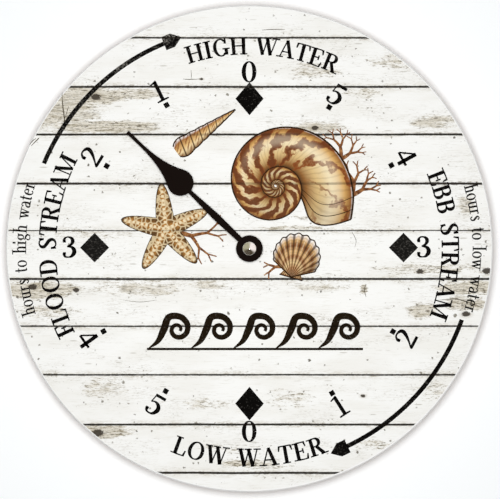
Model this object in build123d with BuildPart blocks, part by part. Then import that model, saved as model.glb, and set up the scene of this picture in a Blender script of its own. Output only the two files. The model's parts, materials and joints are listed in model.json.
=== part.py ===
# One-hand wall tide clock: a round printed board on a quartz movement that turns
# its hand once in 12 h 25 min. Millimetres, +Z towards 12 o'clock, dial facing -Y,
# origin where the hand's axis meets the wall.
import os
from math import cos, radians, sin

from build123d import *

os.makedirs("parts", exist_ok=True)

# Dial board
dial_r = 152.4
dial_thick = 6.0
dial_bevel = 0.8
print_r = 151.2
print_thick = 0.25

# Movement case, whose width, height and depth follow from what it holds
case_corner_r = 4.0
case_wall = 1.4
front_wall = 1.2
cover_thick = 1.5
cover_rebate = 0.7
fit_gap = 0.1
leg_w = 5.0
leg_thick = 0.8
leg_len = 4.5
leg_place_share = 1.2
hook_reach = 0.5
hook_len = 0.9
rib_thick = 1.1
notch_r = 8.0

# Hanger ear, slid from behind into a dovetail rail on top of the case
ear_thick = 2.5
ear_r = 8.0
ear_top_r = 5.0
ear_rise = 11.0
ear_base_w = 22.0
ear_base_h = 1.2
key_r = 4.0
key_slot_w = 4.0
key_travel = 4.0
rail_w = 24.0
rail_height = 2.4
rail_len = 6.0
rail_end = 1.2
foot_w = 14.0
foot_flare = 1.2
foot_height = 1.6

# Bushing, gasket, washer and nut
bushing_r = 4.0
bushing_bore_r = 2.56
bushing_flange_r = 5.5
bushing_flange_thick = 0.8
bushing_reach = 11.0
gasket_r = 12.0
gasket_thick = 1.0
washer_r = 7.0
washer_thick = 0.8
nut_flats = 11.0
nut_thick = 2.0
hole_gap = 0.2
thread_gap = 0.02

# Hand and cap nut
hand_angle = 46.3
hand_len = 104.9
hand_thick = 0.6
hand_stand_off = 1.5
eye_r = 8.3
stem_root_w = 3.5
stem_mid_w = 4.5
stem_mid_at = 29.0
stem_neck_w = 2.7
stem_neck_at = 48.8
belly_r = 8.2
belly_at = 59.4
tip_w = 2.3
taper_shares = [(0.10, 0.875), (0.15, 0.715), (0.207, 0.595), (0.262, 0.485), (0.371, 0.335), (0.481, 0.225),
                (0.60, 0.158)]
cap_r = 4.2
cap_skirt = 1.6
cap_shoulder = 0.4
cap_height = 3.8
cap_bore = 2.4

# Centre shaft
shaft_r = 2.5
shaft_tail_r = 2.0
shaft_pivot_r = 0.8
seat_flats = 2.8
seat_r = 1.7
tip_thread_r = 1.25
tip_thread_len = 2.2

# Gear train, teeth as driver and driven
rotor_teeth = 8
first_teeth = (48, 8)
second_teeth = (64, 8)
third_teeth = (60, 10)
fourth_teeth = (72, 8)
tide_teeth = 69
knob_teeth = 14
setting_teeth = 42
rotor_module = 0.20
first_module = 0.20
second_module = 0.22
third_module = 0.22
fourth_module = 0.28
setting_module = 0.40
mesh_gap_share = 0.08
addendum_share = 0.90
dedendum_share = 1.20
wheel_root_share = 0.58
wheel_tip_share = 0.24
pinion_root_share = 0.52
pinion_tip_share = 0.22

# Bearings from one arbor to the next, in degrees above +X
fourth_bearing = 135
third_bearing = 60
second_bearing = 20
first_bearing = -20
rotor_bearing = -60
knob_bearing = 0

# Layers of the train, counted out from the wall
plate_gap = 0.5
plate_thick = 1.0
plate_margin = 3.2
post_margin = 0.6
layer_lift = 0.5
layer_step = 1.6
wheel_thick = 0.8
pinion_face = 1.2
setting_lift = 1.1
clutch_height = 1.0
tide_thick = 1.0
hub_r = 3.2
hub_lip = 0.2
flange_gap = 0.7
tide_margin = 0.79
end_shake = 0.1
arbor_r = 0.5
pivot_gap = 0.06
boss_r = 1.3
boss_height = 1.0

# Posts that carry the gear plate
post_w = 3.2
stake_w = 1.5
post_gap = 2.1
post_wall_gap = 0.8
left_post_rise = 2.4
top_post_shift = 1.3
low_post_gap = 0.9
side_post_gap = 5.0

# Setting knob
knob_r = 5.0
knob_well_r = 6.2
knob_set_back = 0.3
knob_thick = 1.6
knob_shaft_r = 1.2
knob_pivot_r = 0.6
knob_flutes = 12
knob_flute_w = 1.1
knob_slot_w = 1.0
knob_slot_deep = 0.6

# Clutch spring
spring_thick = 0.2
spring_in_r = 2.3
spring_out_r = 5.2
spring_arms = 3
spring_arm_w = 4.2
spring_ring_w = 0.9

# Stepping motor
magnet_r = 3.0
magnet_thick = 2.8
air_gap = 0.4
stator_thick = 0.8
stator_ring_w = 1.3
stator_arm_w = 3.6
stator_notch_w = 1.0
stator_lift = 6.0
coil_offset = 9.0
coil_half_span = 9.75
arm_offset = 3.0
core_w = 4.0
core_thick = 0.8
bobbin_wall = 0.6
bobbin_margin = 3.6
flange_thick = 1.0
flange_w = 7.2
flange_depth = 6.8
winding_corner_r = 1.6
winding_inset = 0.3
motor_post_w = 2.2
motor_seat_w = 3.4
motor_pin_w = 1.2

# Circuit board
board_thick = 1.0
board_offset = 3.5
board_rise = 1.1
board_over = 3.5
board_seat = 0.8
chip_w = 5.0
chip_thick = 1.0
chip_inset = 1.1
chip_rise = 2.6
crystal_r = 1.0
crystal_len = 6.0
crystal_inset = 0.7
crystal_rise = 1.4

# Battery and contacts
battery_r = 7.1
battery_len = 50.5
nipple_r = 2.75
nipple_len = 1.0
battery_gap = 0.3
contact_thick = 0.3
contact_w = 3.0
contact_gap = 0.05
contact_half = 4.6
contact_lap = 1.4
contact_tab_inset = 2.2
leaf_bow = 2.0


def layer(depth):
    """A drawing plane this far out from the wall, seen from the front: x is +X, y is +Z."""
    return Plane.XZ.offset(depth)


def step_from(start, bearing, first_count, second_count, module):
    """The arbor that meshes with the one at start, at the tooth counts' centre distance."""
    reach = (first_count + second_count + 2 * mesh_gap_share) * module / 2
    return (start[0] + reach * cos(radians(bearing)), start[1] + reach * sin(radians(bearing)))


def phase_to_mesh(count, phase, bearing, next_count):
    """The next gear's turn in degrees that puts a gap where this gear's tooth points along bearing."""
    return 180 + bearing - 180 / next_count + (bearing - phase) * count / next_count


centre_axis = (0, 0)
fourth_axis = step_from(centre_axis, fourth_bearing, tide_teeth, fourth_teeth[1], fourth_module)
third_axis = step_from(fourth_axis, third_bearing, fourth_teeth[0], third_teeth[1], third_module)
second_axis = step_from(third_axis, second_bearing, third_teeth[0], second_teeth[1], second_module)
first_axis = step_from(second_axis, first_bearing, second_teeth[0], first_teeth[1], first_module)
rotor_axis = step_from(first_axis, rotor_bearing, first_teeth[0], rotor_teeth, rotor_module)
knob_axis = step_from(centre_axis, knob_bearing, setting_teeth, knob_teeth, setting_module)

rotor_phase = 0
first_phase = phase_to_mesh(rotor_teeth, rotor_phase, rotor_bearing + 180, first_teeth[0])
second_phase = phase_to_mesh(first_teeth[1], first_phase, first_bearing + 180, second_teeth[0])
third_phase = phase_to_mesh(second_teeth[1], second_phase, second_bearing + 180, third_teeth[0])
fourth_phase = phase_to_mesh(third_teeth[1], third_phase, third_bearing + 180, fourth_teeth[0])
tide_phase = phase_to_mesh(fourth_teeth[1], fourth_phase, fourth_bearing + 180, tide_teeth)
setting_phase = 0
knob_phase = phase_to_mesh(setting_teeth, setting_phase, knob_bearing, knob_teeth)


def tip_radius(teeth, module):
    """The outer radius of a gear."""
    return (teeth / 2 + addendum_share) * module


# Depths, counted out from the wall
plate_rear = cover_thick + plate_gap
plate_front = plate_rear + plate_thick
first_layer = plate_front + layer_lift
setting_layer = first_layer + 3 * layer_step + wheel_thick + setting_lift
tide_layer = setting_layer + wheel_thick + clutch_height
shoulder = tide_layer + tide_thick + hub_lip + end_shake
train_depth = shoulder + flange_gap + bushing_flange_thick
inner_face = max(train_depth, 2 * (battery_r + battery_gap))
case_depth = inner_face + front_wall
battery_depth = inner_face - battery_gap - battery_r
boss_face = inner_face - boss_height
arbor_rear = plate_front + end_shake
board_front = inner_face - board_seat
board_rear = board_front - board_thick
stator_rear = plate_front + stator_lift
stator_front = stator_rear + stator_thick
core_rear = stator_rear - core_thick
dial_back = case_depth + gasket_thick
dial_front = dial_back + dial_thick
print_front = dial_front + print_thick
washer_front = print_front + washer_thick
bushing_end = case_depth + bushing_reach
hand_back = bushing_end + hand_stand_off
hand_front = hand_back + hand_thick

# Places across the movement, from the train and the battery
rib_top_z = -tip_radius(tide_teeth, fourth_module) - tide_margin
rib_low_z = rib_top_z - rib_thick
battery_z = rib_low_z - battery_gap - battery_r
cavity_low_z = battery_z - battery_r - battery_gap
coil_x = rotor_axis[0] + coil_offset
coil_low_z = rotor_axis[1] - coil_half_span
coil_high_z = rotor_axis[1] + coil_half_span
battery_room = battery_len + leaf_bow + 2 * (contact_thick + contact_gap)
coil_room = 2 * (coil_x + flange_w / 2 + leg_thick / 2)
cavity_half = max(battery_room, coil_room) / 2
case_half = cavity_half + case_wall
board_left_x = rotor_axis[0] + board_offset
board_right_x = cavity_half - fit_gap
board_low_z = rib_top_z + board_rise
board_high_z = coil_high_z + board_over
left_post = (
    fourth_axis[0] - tip_radius(fourth_teeth[0], third_module) - post_w / 2 - post_gap,
    fourth_axis[1] + left_post_rise,
)
top_post = (
    first_axis[0] + top_post_shift,
    first_axis[1] + tip_radius(first_teeth[0], rotor_module) + post_w / 2 + post_gap,
)
low_post = (board_left_x - post_w / 2 - low_post_gap, rib_top_z + post_w / 2 + board_rise)
side_post = (
    -tip_radius(tide_teeth, fourth_module) - post_w / 2 - side_post_gap,
    rib_top_z + post_w / 2 + post_gap,
)
cavity_high_z = top_post[1] + post_w / 2 + post_wall_gap
case_low_z = cavity_low_z - case_wall
case_high_z = cavity_high_z + case_wall
rail_top_z = case_high_z + rail_height
foot_low_z = rail_top_z - foot_height
ear_hole_z = case_high_z + ear_rise
ear_slot_z = ear_hole_z + key_travel
leg_face = cavity_half - fit_gap
leg_top_z = cavity_high_z - fit_gap
leg_side_z = rib_top_z + leg_place_share * leg_w
leg_top_x = leg_face - leg_place_share * leg_w
hook_start = cover_thick + leg_len - hook_len
window_w = leg_w + 2 * fit_gap
contact_top_z = board_low_z + contact_lap
contact_tab_x = board_left_x + contact_tab_inset


def toothed_disc(teeth, module, phase, is_pinion=False):
    """A gear's outline about the origin: straight-sided teeth, each with a root and a tip width."""
    root_share = pinion_root_share if is_pinion else wheel_root_share
    tip_share = pinion_tip_share if is_pinion else wheel_tip_share
    pitch_r = teeth * module / 2
    tip_r = pitch_r + addendum_share * module
    root_r = pitch_r - dedendum_share * module
    pitch = 360 / teeth
    corners = ((root_r, -root_share), (tip_r, -tip_share), (tip_r, tip_share), (root_r, root_share))
    points = []
    for tooth in range(teeth):
        middle = phase + tooth * pitch
        for radius, share in corners:
            angle = radians(middle + share * pitch / 2)
            points.append((radius * cos(angle), radius * sin(angle)))
    with BuildSketch() as outline:
        with BuildLine():
            Polyline(*points, close=True)
        make_face()
    return outline.sketch


def radial_plane(angle):
    """A drawing plane through the dial's axis: x runs outwards at this angle above +X, y is +Y."""
    turn = radians(angle)
    return Plane(origin=(0, 0, 0), x_dir=(cos(turn), 0, sin(turn)), z_dir=(-sin(turn), 0, cos(turn)))


def rect_between(low, high):
    """A rectangle from its low corner to its high corner."""
    with BuildSketch() as sheet:
        with Locations(((low[0] + high[0]) / 2, (low[1] + high[1]) / 2)):
            Rectangle(high[0] - low[0], high[1] - low[1])
    return sheet.sketch


def arbor_pin(axis):
    """An arbor that runs in the gear plate behind and in a boss in front."""
    with BuildPart() as pin:
        with BuildSketch(layer(plate_rear + end_shake)):
            with Locations(axis):
                Circle(arbor_r)
        extrude(amount=inner_face - plate_rear - 2 * end_shake)
    return pin.part


def save(part, name):
    """Label a finished piece and write it."""
    part.label = name
    export_step(part, f"parts/{name}.step")


# Dial board: a round hardboard panel, its front edge eased
with BuildPart() as dial_disc:
    with BuildSketch(layer(dial_back)):
        Circle(dial_r)
        Circle(bushing_r + hole_gap, mode=Mode.SUBTRACT)
    extrude(amount=dial_thick)
    front_rim = dial_disc.faces().sort_by(Axis.Y)[0].edges().sort_by(SortBy.LENGTH)[-1]
    chamfer(front_rim, length=dial_bevel)
save(dial_disc.part, "dial_disc")

# Printed face: the film that carries the artwork
with BuildPart() as printed_face:
    with BuildSketch(layer(dial_front)):
        Circle(print_r)
        Circle(bushing_r + hole_gap, mode=Mode.SUBTRACT)
    extrude(amount=print_thick)
save(printed_face.part, "printed_face")

# Rubber gasket between case and board
with BuildPart() as rubber_gasket:
    with BuildSketch(layer(case_depth)):
        Circle(gasket_r)
        Circle(bushing_r + thread_gap, mode=Mode.SUBTRACT)
    extrude(amount=gasket_thick)
save(rubber_gasket.part, "rubber_gasket")

# Flat washer under the nut
with BuildPart() as flat_washer:
    with BuildSketch(layer(print_front)):
        Circle(washer_r)
        Circle(bushing_r + hole_gap, mode=Mode.SUBTRACT)
    extrude(amount=washer_thick)
save(flat_washer.part, "flat_washer")

# Hex nut that clamps the board to the movement
with BuildPart() as hex_nut:
    with BuildSketch(layer(washer_front)):
        RegularPolygon(nut_flats / 2, 6, major_radius=False)
        Circle(bushing_r + thread_gap, mode=Mode.SUBTRACT)
    extrude(amount=nut_thick)
save(hex_nut.part, "hex_nut")

# Threaded bushing pressed into the front of the case
with BuildPart() as threaded_bushing:
    with BuildSketch(layer(inner_face - bushing_flange_thick)):
        Circle(bushing_flange_r)
    extrude(amount=bushing_flange_thick)
    with BuildSketch(layer(inner_face)):
        Circle(bushing_r)
    extrude(amount=bushing_end - inner_face)
    with BuildSketch(layer(inner_face - bushing_flange_thick)):
        Circle(bushing_bore_r)
    extrude(amount=bushing_end, mode=Mode.SUBTRACT)
save(threaded_bushing.part, "threaded_bushing")

def dovetail(gap):
    """The section of the hanger ear's foot, wider at the bottom, with a gap left at each side."""
    with BuildSketch() as section:
        with BuildLine():
            Polyline(
                (foot_w / 2 + gap, rail_top_z),
                (-foot_w / 2 - gap, rail_top_z),
                (-foot_w / 2 - foot_flare - gap, foot_low_z),
                (foot_w / 2 + foot_flare + gap, foot_low_z),
                close=True,
            )
        make_face()
    return section.sketch


# Front case: an open-backed tub with the battery bay, bearing land, posts and hanger rail
bearing_axes = [first_axis, second_axis, third_axis, fourth_axis, rotor_axis]
plate_posts = [left_post, top_post, low_post, side_post]
motor_posts = [(coil_x, coil_low_z), (coil_x, coil_high_z)]
case_mid_z = (case_low_z + case_high_z) / 2
rib_mid_z = (rib_low_z + rib_top_z) / 2
slot_w = contact_thick + fit_gap
rebate_half = cavity_half + cover_rebate
rebate_r = case_corner_r - case_wall + cover_rebate
with BuildPart() as front_case:
    with BuildSketch(layer(0)):
        with Locations((0, case_mid_z)):
            RectangleRounded(2 * case_half, case_high_z - case_low_z, case_corner_r)
    extrude(amount=case_depth)
    with BuildSketch(layer(0)):
        add(rect_between((-rail_w / 2, case_mid_z), (rail_w / 2, rail_top_z)))
    extrude(amount=rail_len)
    with BuildSketch(layer(0)):
        add(dovetail(fit_gap))
    extrude(amount=rail_len - rail_end, mode=Mode.SUBTRACT)
    with BuildSketch(layer(0)):
        with Locations((0, (cavity_low_z + cavity_high_z) / 2)):
            RectangleRounded(2 * cavity_half, cavity_high_z - cavity_low_z, case_corner_r - case_wall)
    extrude(amount=inner_face, mode=Mode.SUBTRACT)
    with BuildSketch(layer(0)):
        add(rect_between((-rebate_half, rib_low_z), (rebate_half, cavity_high_z + cover_rebate)))
        fillet(vertices().group_by(Axis.Y)[-1], radius=rebate_r)
    extrude(amount=cover_thick, mode=Mode.SUBTRACT)
    with BuildSketch(layer(cover_thick)):
        add(rect_between((-cavity_half, rib_low_z), (cavity_half, rib_top_z)))
    extrude(amount=inner_face - cover_thick)
    with BuildSketch(layer(battery_depth - contact_w / 2 - fit_gap)):
        with Locations((-cavity_half + slot_w / 2, rib_mid_z), (cavity_half - slot_w / 2, rib_mid_z)):
            Rectangle(slot_w, rib_thick)
    extrude(amount=contact_w + 2 * fit_gap, mode=Mode.SUBTRACT)
    with BuildSketch(Plane.XY.offset(case_low_z)):
        Circle(notch_r)
    extrude(amount=case_wall, mode=Mode.SUBTRACT)
    with BuildSketch(layer(boss_face)):
        with Locations(*bearing_axes, knob_axis):
            Circle(boss_r)
        make_hull()
        Circle(bushing_flange_r + fit_gap, mode=Mode.SUBTRACT)
        with Locations(*bearing_axes):
            Circle(arbor_r + pivot_gap, mode=Mode.SUBTRACT)
        with Locations(knob_axis):
            Circle(knob_pivot_r + pivot_gap, mode=Mode.SUBTRACT)
    extrude(amount=boss_height)
    with BuildSketch(layer(plate_front)):
        with Locations(*plate_posts):
            Rectangle(post_w, post_w)
    extrude(amount=inner_face - plate_front)
    with BuildSketch(layer(plate_rear)):
        with Locations(*plate_posts):
            Rectangle(stake_w, stake_w)
    extrude(amount=plate_thick)
    with BuildSketch(layer(board_front)):
        with Locations(*motor_posts):
            Rectangle(motor_seat_w, motor_seat_w)
    extrude(amount=board_seat)
    with BuildSketch(layer(stator_front)):
        with Locations(*motor_posts):
            Rectangle(motor_post_w, motor_post_w)
    extrude(amount=board_front - stator_front)
    with BuildSketch(layer(core_rear)):
        with Locations(*motor_posts):
            Rectangle(motor_pin_w, motor_pin_w)
    extrude(amount=stator_front - core_rear)
    with BuildSketch(layer(hook_start - fit_gap)):
        for side in (-1, 1):
            with Locations((side * (case_half - case_wall / 2), leg_side_z)):
                Rectangle(case_wall, window_w)
            with Locations((side * leg_top_x, case_high_z - case_wall / 2)):
                Rectangle(window_w, case_wall)
    extrude(amount=hook_len + 2 * fit_gap, mode=Mode.SUBTRACT)
    with BuildSketch(layer(inner_face)):
        Circle(bushing_r)
    extrude(amount=front_wall, mode=Mode.SUBTRACT)
save(front_case.part, "front_case")

# Hanger ear: a keyhole plate on a dovetail foot
with BuildPart() as hanger_ear:
    with BuildSketch(layer(0)):
        with Locations((0, ear_slot_z)):
            Circle(ear_top_r)
        with Locations((0, ear_hole_z)):
            Circle(ear_r)
        with Locations((0, rail_top_z + ear_base_h / 2)):
            Rectangle(ear_base_w, ear_base_h)
        make_hull()
        with Locations((0, ear_hole_z)):
            Circle(key_r, mode=Mode.SUBTRACT)
        with Locations((0, (ear_hole_z + ear_slot_z) / 2)):
            Rectangle(key_slot_w, key_travel, mode=Mode.SUBTRACT)
        with Locations((0, ear_slot_z)):
            Circle(key_slot_w / 2, mode=Mode.SUBTRACT)
    extrude(amount=ear_thick)
    with BuildSketch(layer(0)):
        add(dovetail(0))
    extrude(amount=rail_len - rail_end - fit_gap)
save(hanger_ear.part, "hanger_ear")

# Back cover: flush plate over the gears, on four snap legs, with a well for the knob
cover_half = rebate_half - fit_gap
hook_w = leg_thick + hook_reach
with BuildPart() as back_cover:
    with BuildSketch(layer(0)):
        add(rect_between((-cover_half, rib_low_z), (cover_half, cavity_high_z + cover_rebate - fit_gap)))
        fillet(vertices().group_by(Axis.Y)[-1], radius=rebate_r)
        with Locations(knob_axis):
            Circle(knob_well_r, mode=Mode.SUBTRACT)
    extrude(amount=cover_thick)
    with BuildSketch(layer(cover_thick)):
        for side in (-1, 1):
            with Locations((side * (leg_face - leg_thick / 2), leg_side_z)):
                Rectangle(leg_thick, leg_w)
            with Locations((side * leg_top_x, leg_top_z - leg_thick / 2)):
                Rectangle(leg_w, leg_thick)
    extrude(amount=leg_len)
    with BuildSketch(layer(hook_start)):
        for side in (-1, 1):
            with Locations((side * (leg_face - leg_thick + hook_w / 2), leg_side_z)):
                Rectangle(hook_w, leg_w)
            with Locations((side * leg_top_x, leg_top_z - leg_thick + hook_w / 2)):
                Rectangle(leg_w, hook_w)
    extrude(amount=hook_len)
save(back_cover.part, "back_cover")

# Gear plate: carries the rear pivots, staked on the posts
with BuildPart() as gear_plate:
    with BuildSketch(layer(plate_rear)):
        with Locations(*bearing_axes, centre_axis, knob_axis):
            Circle(plate_margin)
        with Locations(*plate_posts):
            Rectangle(post_w + 2 * post_margin, post_w + 2 * post_margin)
        make_hull()
        with Locations(*plate_posts):
            Rectangle(stake_w + fit_gap, stake_w + fit_gap, mode=Mode.SUBTRACT)
        with Locations(*bearing_axes):
            Circle(arbor_r + pivot_gap, mode=Mode.SUBTRACT)
        with Locations(centre_axis):
            Circle(shaft_pivot_r + pivot_gap, mode=Mode.SUBTRACT)
        with Locations(knob_axis):
            Circle(knob_shaft_r + pivot_gap, mode=Mode.SUBTRACT)
    extrude(amount=plate_thick)
save(gear_plate.part, "gear_plate")


def geared_arbor(axis, counts, modules, phase, level):
    """One moulded wheel: a large wheel on its layer and a long pinion out to the next layer."""
    wheel_face = first_layer + level * layer_step
    wheel_front = wheel_face + wheel_thick
    next_face = tide_layer if level == 3 else wheel_face + layer_step
    next_thick = tide_thick if level == 3 else wheel_thick
    pinion_end = next_face + next_thick / 2 + pinion_face / 2
    with BuildPart() as moulding:
        add(arbor_pin(axis))
        with BuildSketch(layer(wheel_face)):
            with Locations(axis):
                add(toothed_disc(counts[0], modules[0], phase))
        extrude(amount=wheel_thick)
        with BuildSketch(layer(wheel_front)):
            with Locations(axis):
                add(toothed_disc(counts[1], modules[1], phase, is_pinion=True))
        extrude(amount=pinion_end - wheel_front)
    return moulding.part


train = [
    ("first_wheel", first_axis, first_teeth, (rotor_module, first_module), first_phase),
    ("second_wheel", second_axis, second_teeth, (first_module, second_module), second_phase),
    ("third_wheel", third_axis, third_teeth, (second_module, third_module), third_phase),
    ("fourth_wheel", fourth_axis, fourth_teeth, (third_module, fourth_module), fourth_phase),
]
for level, (name, axis, counts, modules, phase) in enumerate(train):
    save(geared_arbor(axis, counts, modules, phase, level), name)

# Tide wheel: runs free on the shaft and drives it through the clutch spring
with BuildPart() as tide_wheel:
    with BuildSketch(layer(tide_layer)):
        add(toothed_disc(tide_teeth, fourth_module, tide_phase))
        Circle(hub_r, mode=Mode.SUBTRACT)
    extrude(amount=tide_thick)
    with BuildSketch(layer(tide_layer)):
        Circle(hub_r)
        Circle(shaft_tail_r + pivot_gap, mode=Mode.SUBTRACT)
    extrude(amount=tide_thick + hub_lip)
save(tide_wheel.part, "tide_wheel")

# Centre shaft: tail pivot, running body, double-D seat for the hand and threaded tip
with BuildPart() as centre_shaft:
    with BuildSketch(layer(plate_rear + fit_gap)):
        Circle(shaft_pivot_r)
    extrude(amount=plate_thick)
    with BuildSketch(layer(arbor_rear)):
        Circle(shaft_tail_r)
    extrude(amount=shoulder - arbor_rear)
    with BuildSketch(layer(shoulder)):
        Circle(shaft_r)
    extrude(amount=hand_back - shoulder)
    with BuildSketch(layer(hand_back)):
        Circle(seat_r)
        Rectangle(2 * seat_r, seat_flats, mode=Mode.INTERSECT)
    extrude(amount=hand_thick)
    with BuildSketch(layer(hand_front)):
        Circle(tip_thread_r)
    extrude(amount=tip_thread_len)
save(centre_shaft.part, "centre_shaft")

# Setting wheel, fixed on the shaft and turned by the knob
with BuildPart() as setting_wheel:
    with BuildSketch(layer(setting_layer)):
        add(toothed_disc(setting_teeth, setting_module, setting_phase))
        Circle(shaft_tail_r, mode=Mode.SUBTRACT)
    extrude(amount=wheel_thick)
save(setting_wheel.part, "setting_wheel")

# Clutch spring: a ring on the setting wheel with three bent arms that press on the tide wheel
spring_rear = setting_layer + wheel_thick
spring_rise = clutch_height - spring_thick - pivot_gap
spring_root_r = spring_in_r + spring_ring_w / 2
with BuildPart() as clutch_spring:
    with BuildSketch(layer(spring_rear)):
        Circle(spring_in_r + spring_ring_w)
        Circle(spring_in_r, mode=Mode.SUBTRACT)
    extrude(amount=spring_thick)
    for arm in range(spring_arms):
        with BuildSketch(radial_plane(arm * 360 / spring_arms)):
            with BuildLine():
                Polyline(
                    (spring_root_r, -spring_rear),
                    (spring_root_r, -spring_rear - spring_thick),
                    (spring_out_r, -spring_rear - spring_rise - spring_thick),
                    (spring_out_r, -spring_rear - spring_rise),
                    close=True,
                )
            make_face()
        extrude(amount=spring_arm_w / 2, both=True)
save(clutch_spring.part, "clutch_spring")

# Setting knob: fluted disc, shaft and pinion in one moulding
with BuildPart() as setting_knob:
    with BuildSketch(layer(knob_set_back)):
        with Locations(knob_axis):
            Circle(knob_r)
            with PolarLocations(knob_r, knob_flutes):
                Rectangle(knob_flute_w, knob_flute_w, mode=Mode.SUBTRACT)
    extrude(amount=knob_thick)
    with BuildSketch(layer(knob_set_back)):
        with Locations(knob_axis):
            Rectangle(2 * knob_r, knob_slot_w)
    extrude(amount=knob_slot_deep, mode=Mode.SUBTRACT)
    with BuildSketch(layer(knob_set_back + knob_thick)):
        with Locations(knob_axis):
            Circle(knob_shaft_r)
    extrude(amount=setting_layer - knob_set_back - knob_thick)
    with BuildSketch(layer(setting_layer + wheel_thick / 2 - pinion_face / 2)):
        with Locations(knob_axis):
            add(toothed_disc(knob_teeth, setting_module, knob_phase, is_pinion=True))
    extrude(amount=pinion_face)
    with BuildSketch(layer(setting_layer)):
        with Locations(knob_axis):
            Circle(knob_pivot_r)
    extrude(amount=inner_face - end_shake - setting_layer)
save(setting_knob.part, "setting_knob")

# Rotor: arbor with pinion, and the magnet on it
magnet_rear = (stator_rear + stator_front) / 2 - magnet_thick / 2
with BuildPart() as rotor_pinion:
    add(arbor_pin(rotor_axis))
    with BuildSketch(layer(first_layer + wheel_thick / 2 - pinion_face / 2)):
        with Locations(rotor_axis):
            add(toothed_disc(rotor_teeth, rotor_module, rotor_phase, is_pinion=True))
    extrude(amount=pinion_face)
save(rotor_pinion.part, "rotor_pinion")

with BuildPart() as rotor_magnet:
    with BuildSketch(layer(magnet_rear)):
        with Locations(rotor_axis):
            Circle(magnet_r)
            Circle(arbor_r, mode=Mode.SUBTRACT)
    extrude(amount=magnet_thick)
save(rotor_magnet.part, "rotor_magnet")

# Stator: a ring round the magnet with two arms to the coil core
stator_hole_r = magnet_r + air_gap
with BuildPart() as stator:
    with BuildSketch(layer(stator_rear)):
        for end_z in (coil_low_z, coil_high_z):
            with BuildLine():
                Polyline(rotor_axis, (rotor_axis[0] + arm_offset, end_z), (coil_x + stator_arm_w / 2, end_z))
            trace(line_width=stator_arm_w)
        with Locations(rotor_axis):
            Circle(stator_hole_r + stator_ring_w)
            Circle(stator_hole_r, mode=Mode.SUBTRACT)
            with PolarLocations(stator_hole_r, 2):
                Rectangle(stator_notch_w, stator_notch_w, mode=Mode.SUBTRACT)
        with Locations(*motor_posts):
            Rectangle(motor_pin_w + fit_gap, motor_pin_w + fit_gap, mode=Mode.SUBTRACT)
    extrude(amount=stator_thick)
save(stator.part, "stator")

# Coil core, bobbin and winding, standing along +Z
coil_mid_z = (coil_low_z + coil_high_z) / 2
core_mid_depth = core_rear + core_thick / 2
bobbin_low_z = coil_low_z + bobbin_margin
bobbin_high_z = coil_high_z - bobbin_margin
tube_w = core_w + 2 * (fit_gap + bobbin_wall)
tube_depth = core_thick + 2 * (fit_gap + bobbin_wall)
with BuildPart() as coil_core:
    with BuildSketch(layer(core_rear)):
        with Locations((coil_x, coil_mid_z)):
            Rectangle(core_w, coil_high_z - coil_low_z + core_w)
        with Locations(*motor_posts):
            Rectangle(motor_pin_w + fit_gap, motor_pin_w + fit_gap, mode=Mode.SUBTRACT)
    extrude(amount=core_thick)
save(coil_core.part, "coil_core")

with BuildPart() as coil_bobbin:
    with BuildSketch(Plane.XY.offset(bobbin_low_z)):
        with Locations((coil_x, -core_mid_depth)):
            Rectangle(tube_w, tube_depth)
    extrude(amount=bobbin_high_z - bobbin_low_z)
    for flange_z in (bobbin_low_z, bobbin_high_z - flange_thick):
        with BuildSketch(Plane.XY.offset(flange_z)):
            with Locations((coil_x, -core_mid_depth)):
                Rectangle(flange_w, flange_depth)
        extrude(amount=flange_thick)
    with BuildSketch(Plane.XY.offset(bobbin_low_z)):
        with Locations((coil_x, -core_mid_depth)):
            Rectangle(core_w + 2 * fit_gap, core_thick + 2 * fit_gap)
    extrude(amount=bobbin_high_z - bobbin_low_z, mode=Mode.SUBTRACT)
save(coil_bobbin.part, "coil_bobbin")

with BuildPart() as coil_winding:
    with BuildSketch(Plane.XY.offset(bobbin_low_z + flange_thick)):
        with Locations((coil_x, -core_mid_depth)):
            RectangleRounded(flange_w - 2 * winding_inset, flange_depth - 2 * winding_inset, winding_corner_r)
            Rectangle(tube_w, tube_depth, mode=Mode.SUBTRACT)
    extrude(amount=bobbin_high_z - bobbin_low_z - 2 * flange_thick)
save(coil_winding.part, "coil_winding")

# Circuit board with its clock chip and quartz crystal
with BuildPart() as circuit_board:
    with BuildSketch(layer(board_rear)):
        add(rect_between((board_left_x, board_low_z), (board_right_x, board_high_z)))
        with Locations(*motor_posts):
            Rectangle(motor_post_w + fit_gap, motor_post_w + fit_gap, mode=Mode.SUBTRACT)
    extrude(amount=board_thick)
save(circuit_board.part, "circuit_board")

with BuildPart() as circuit_chip:
    with BuildSketch(layer(board_rear - chip_thick)):
        with Locations((board_left_x + chip_inset + chip_w / 2, board_low_z + chip_rise + chip_w / 2)):
            Rectangle(chip_w, chip_w)
    extrude(amount=chip_thick)
save(circuit_chip.part, "circuit_chip")

with BuildPart() as quartz_crystal:
    with BuildSketch(Plane.XY.offset(board_low_z + crystal_rise)):
        with Locations((board_right_x - crystal_inset - crystal_r, crystal_r - board_rear)):
            Circle(crystal_r)
    extrude(amount=crystal_len)
save(quartz_crystal.part, "quartz_crystal")

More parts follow.
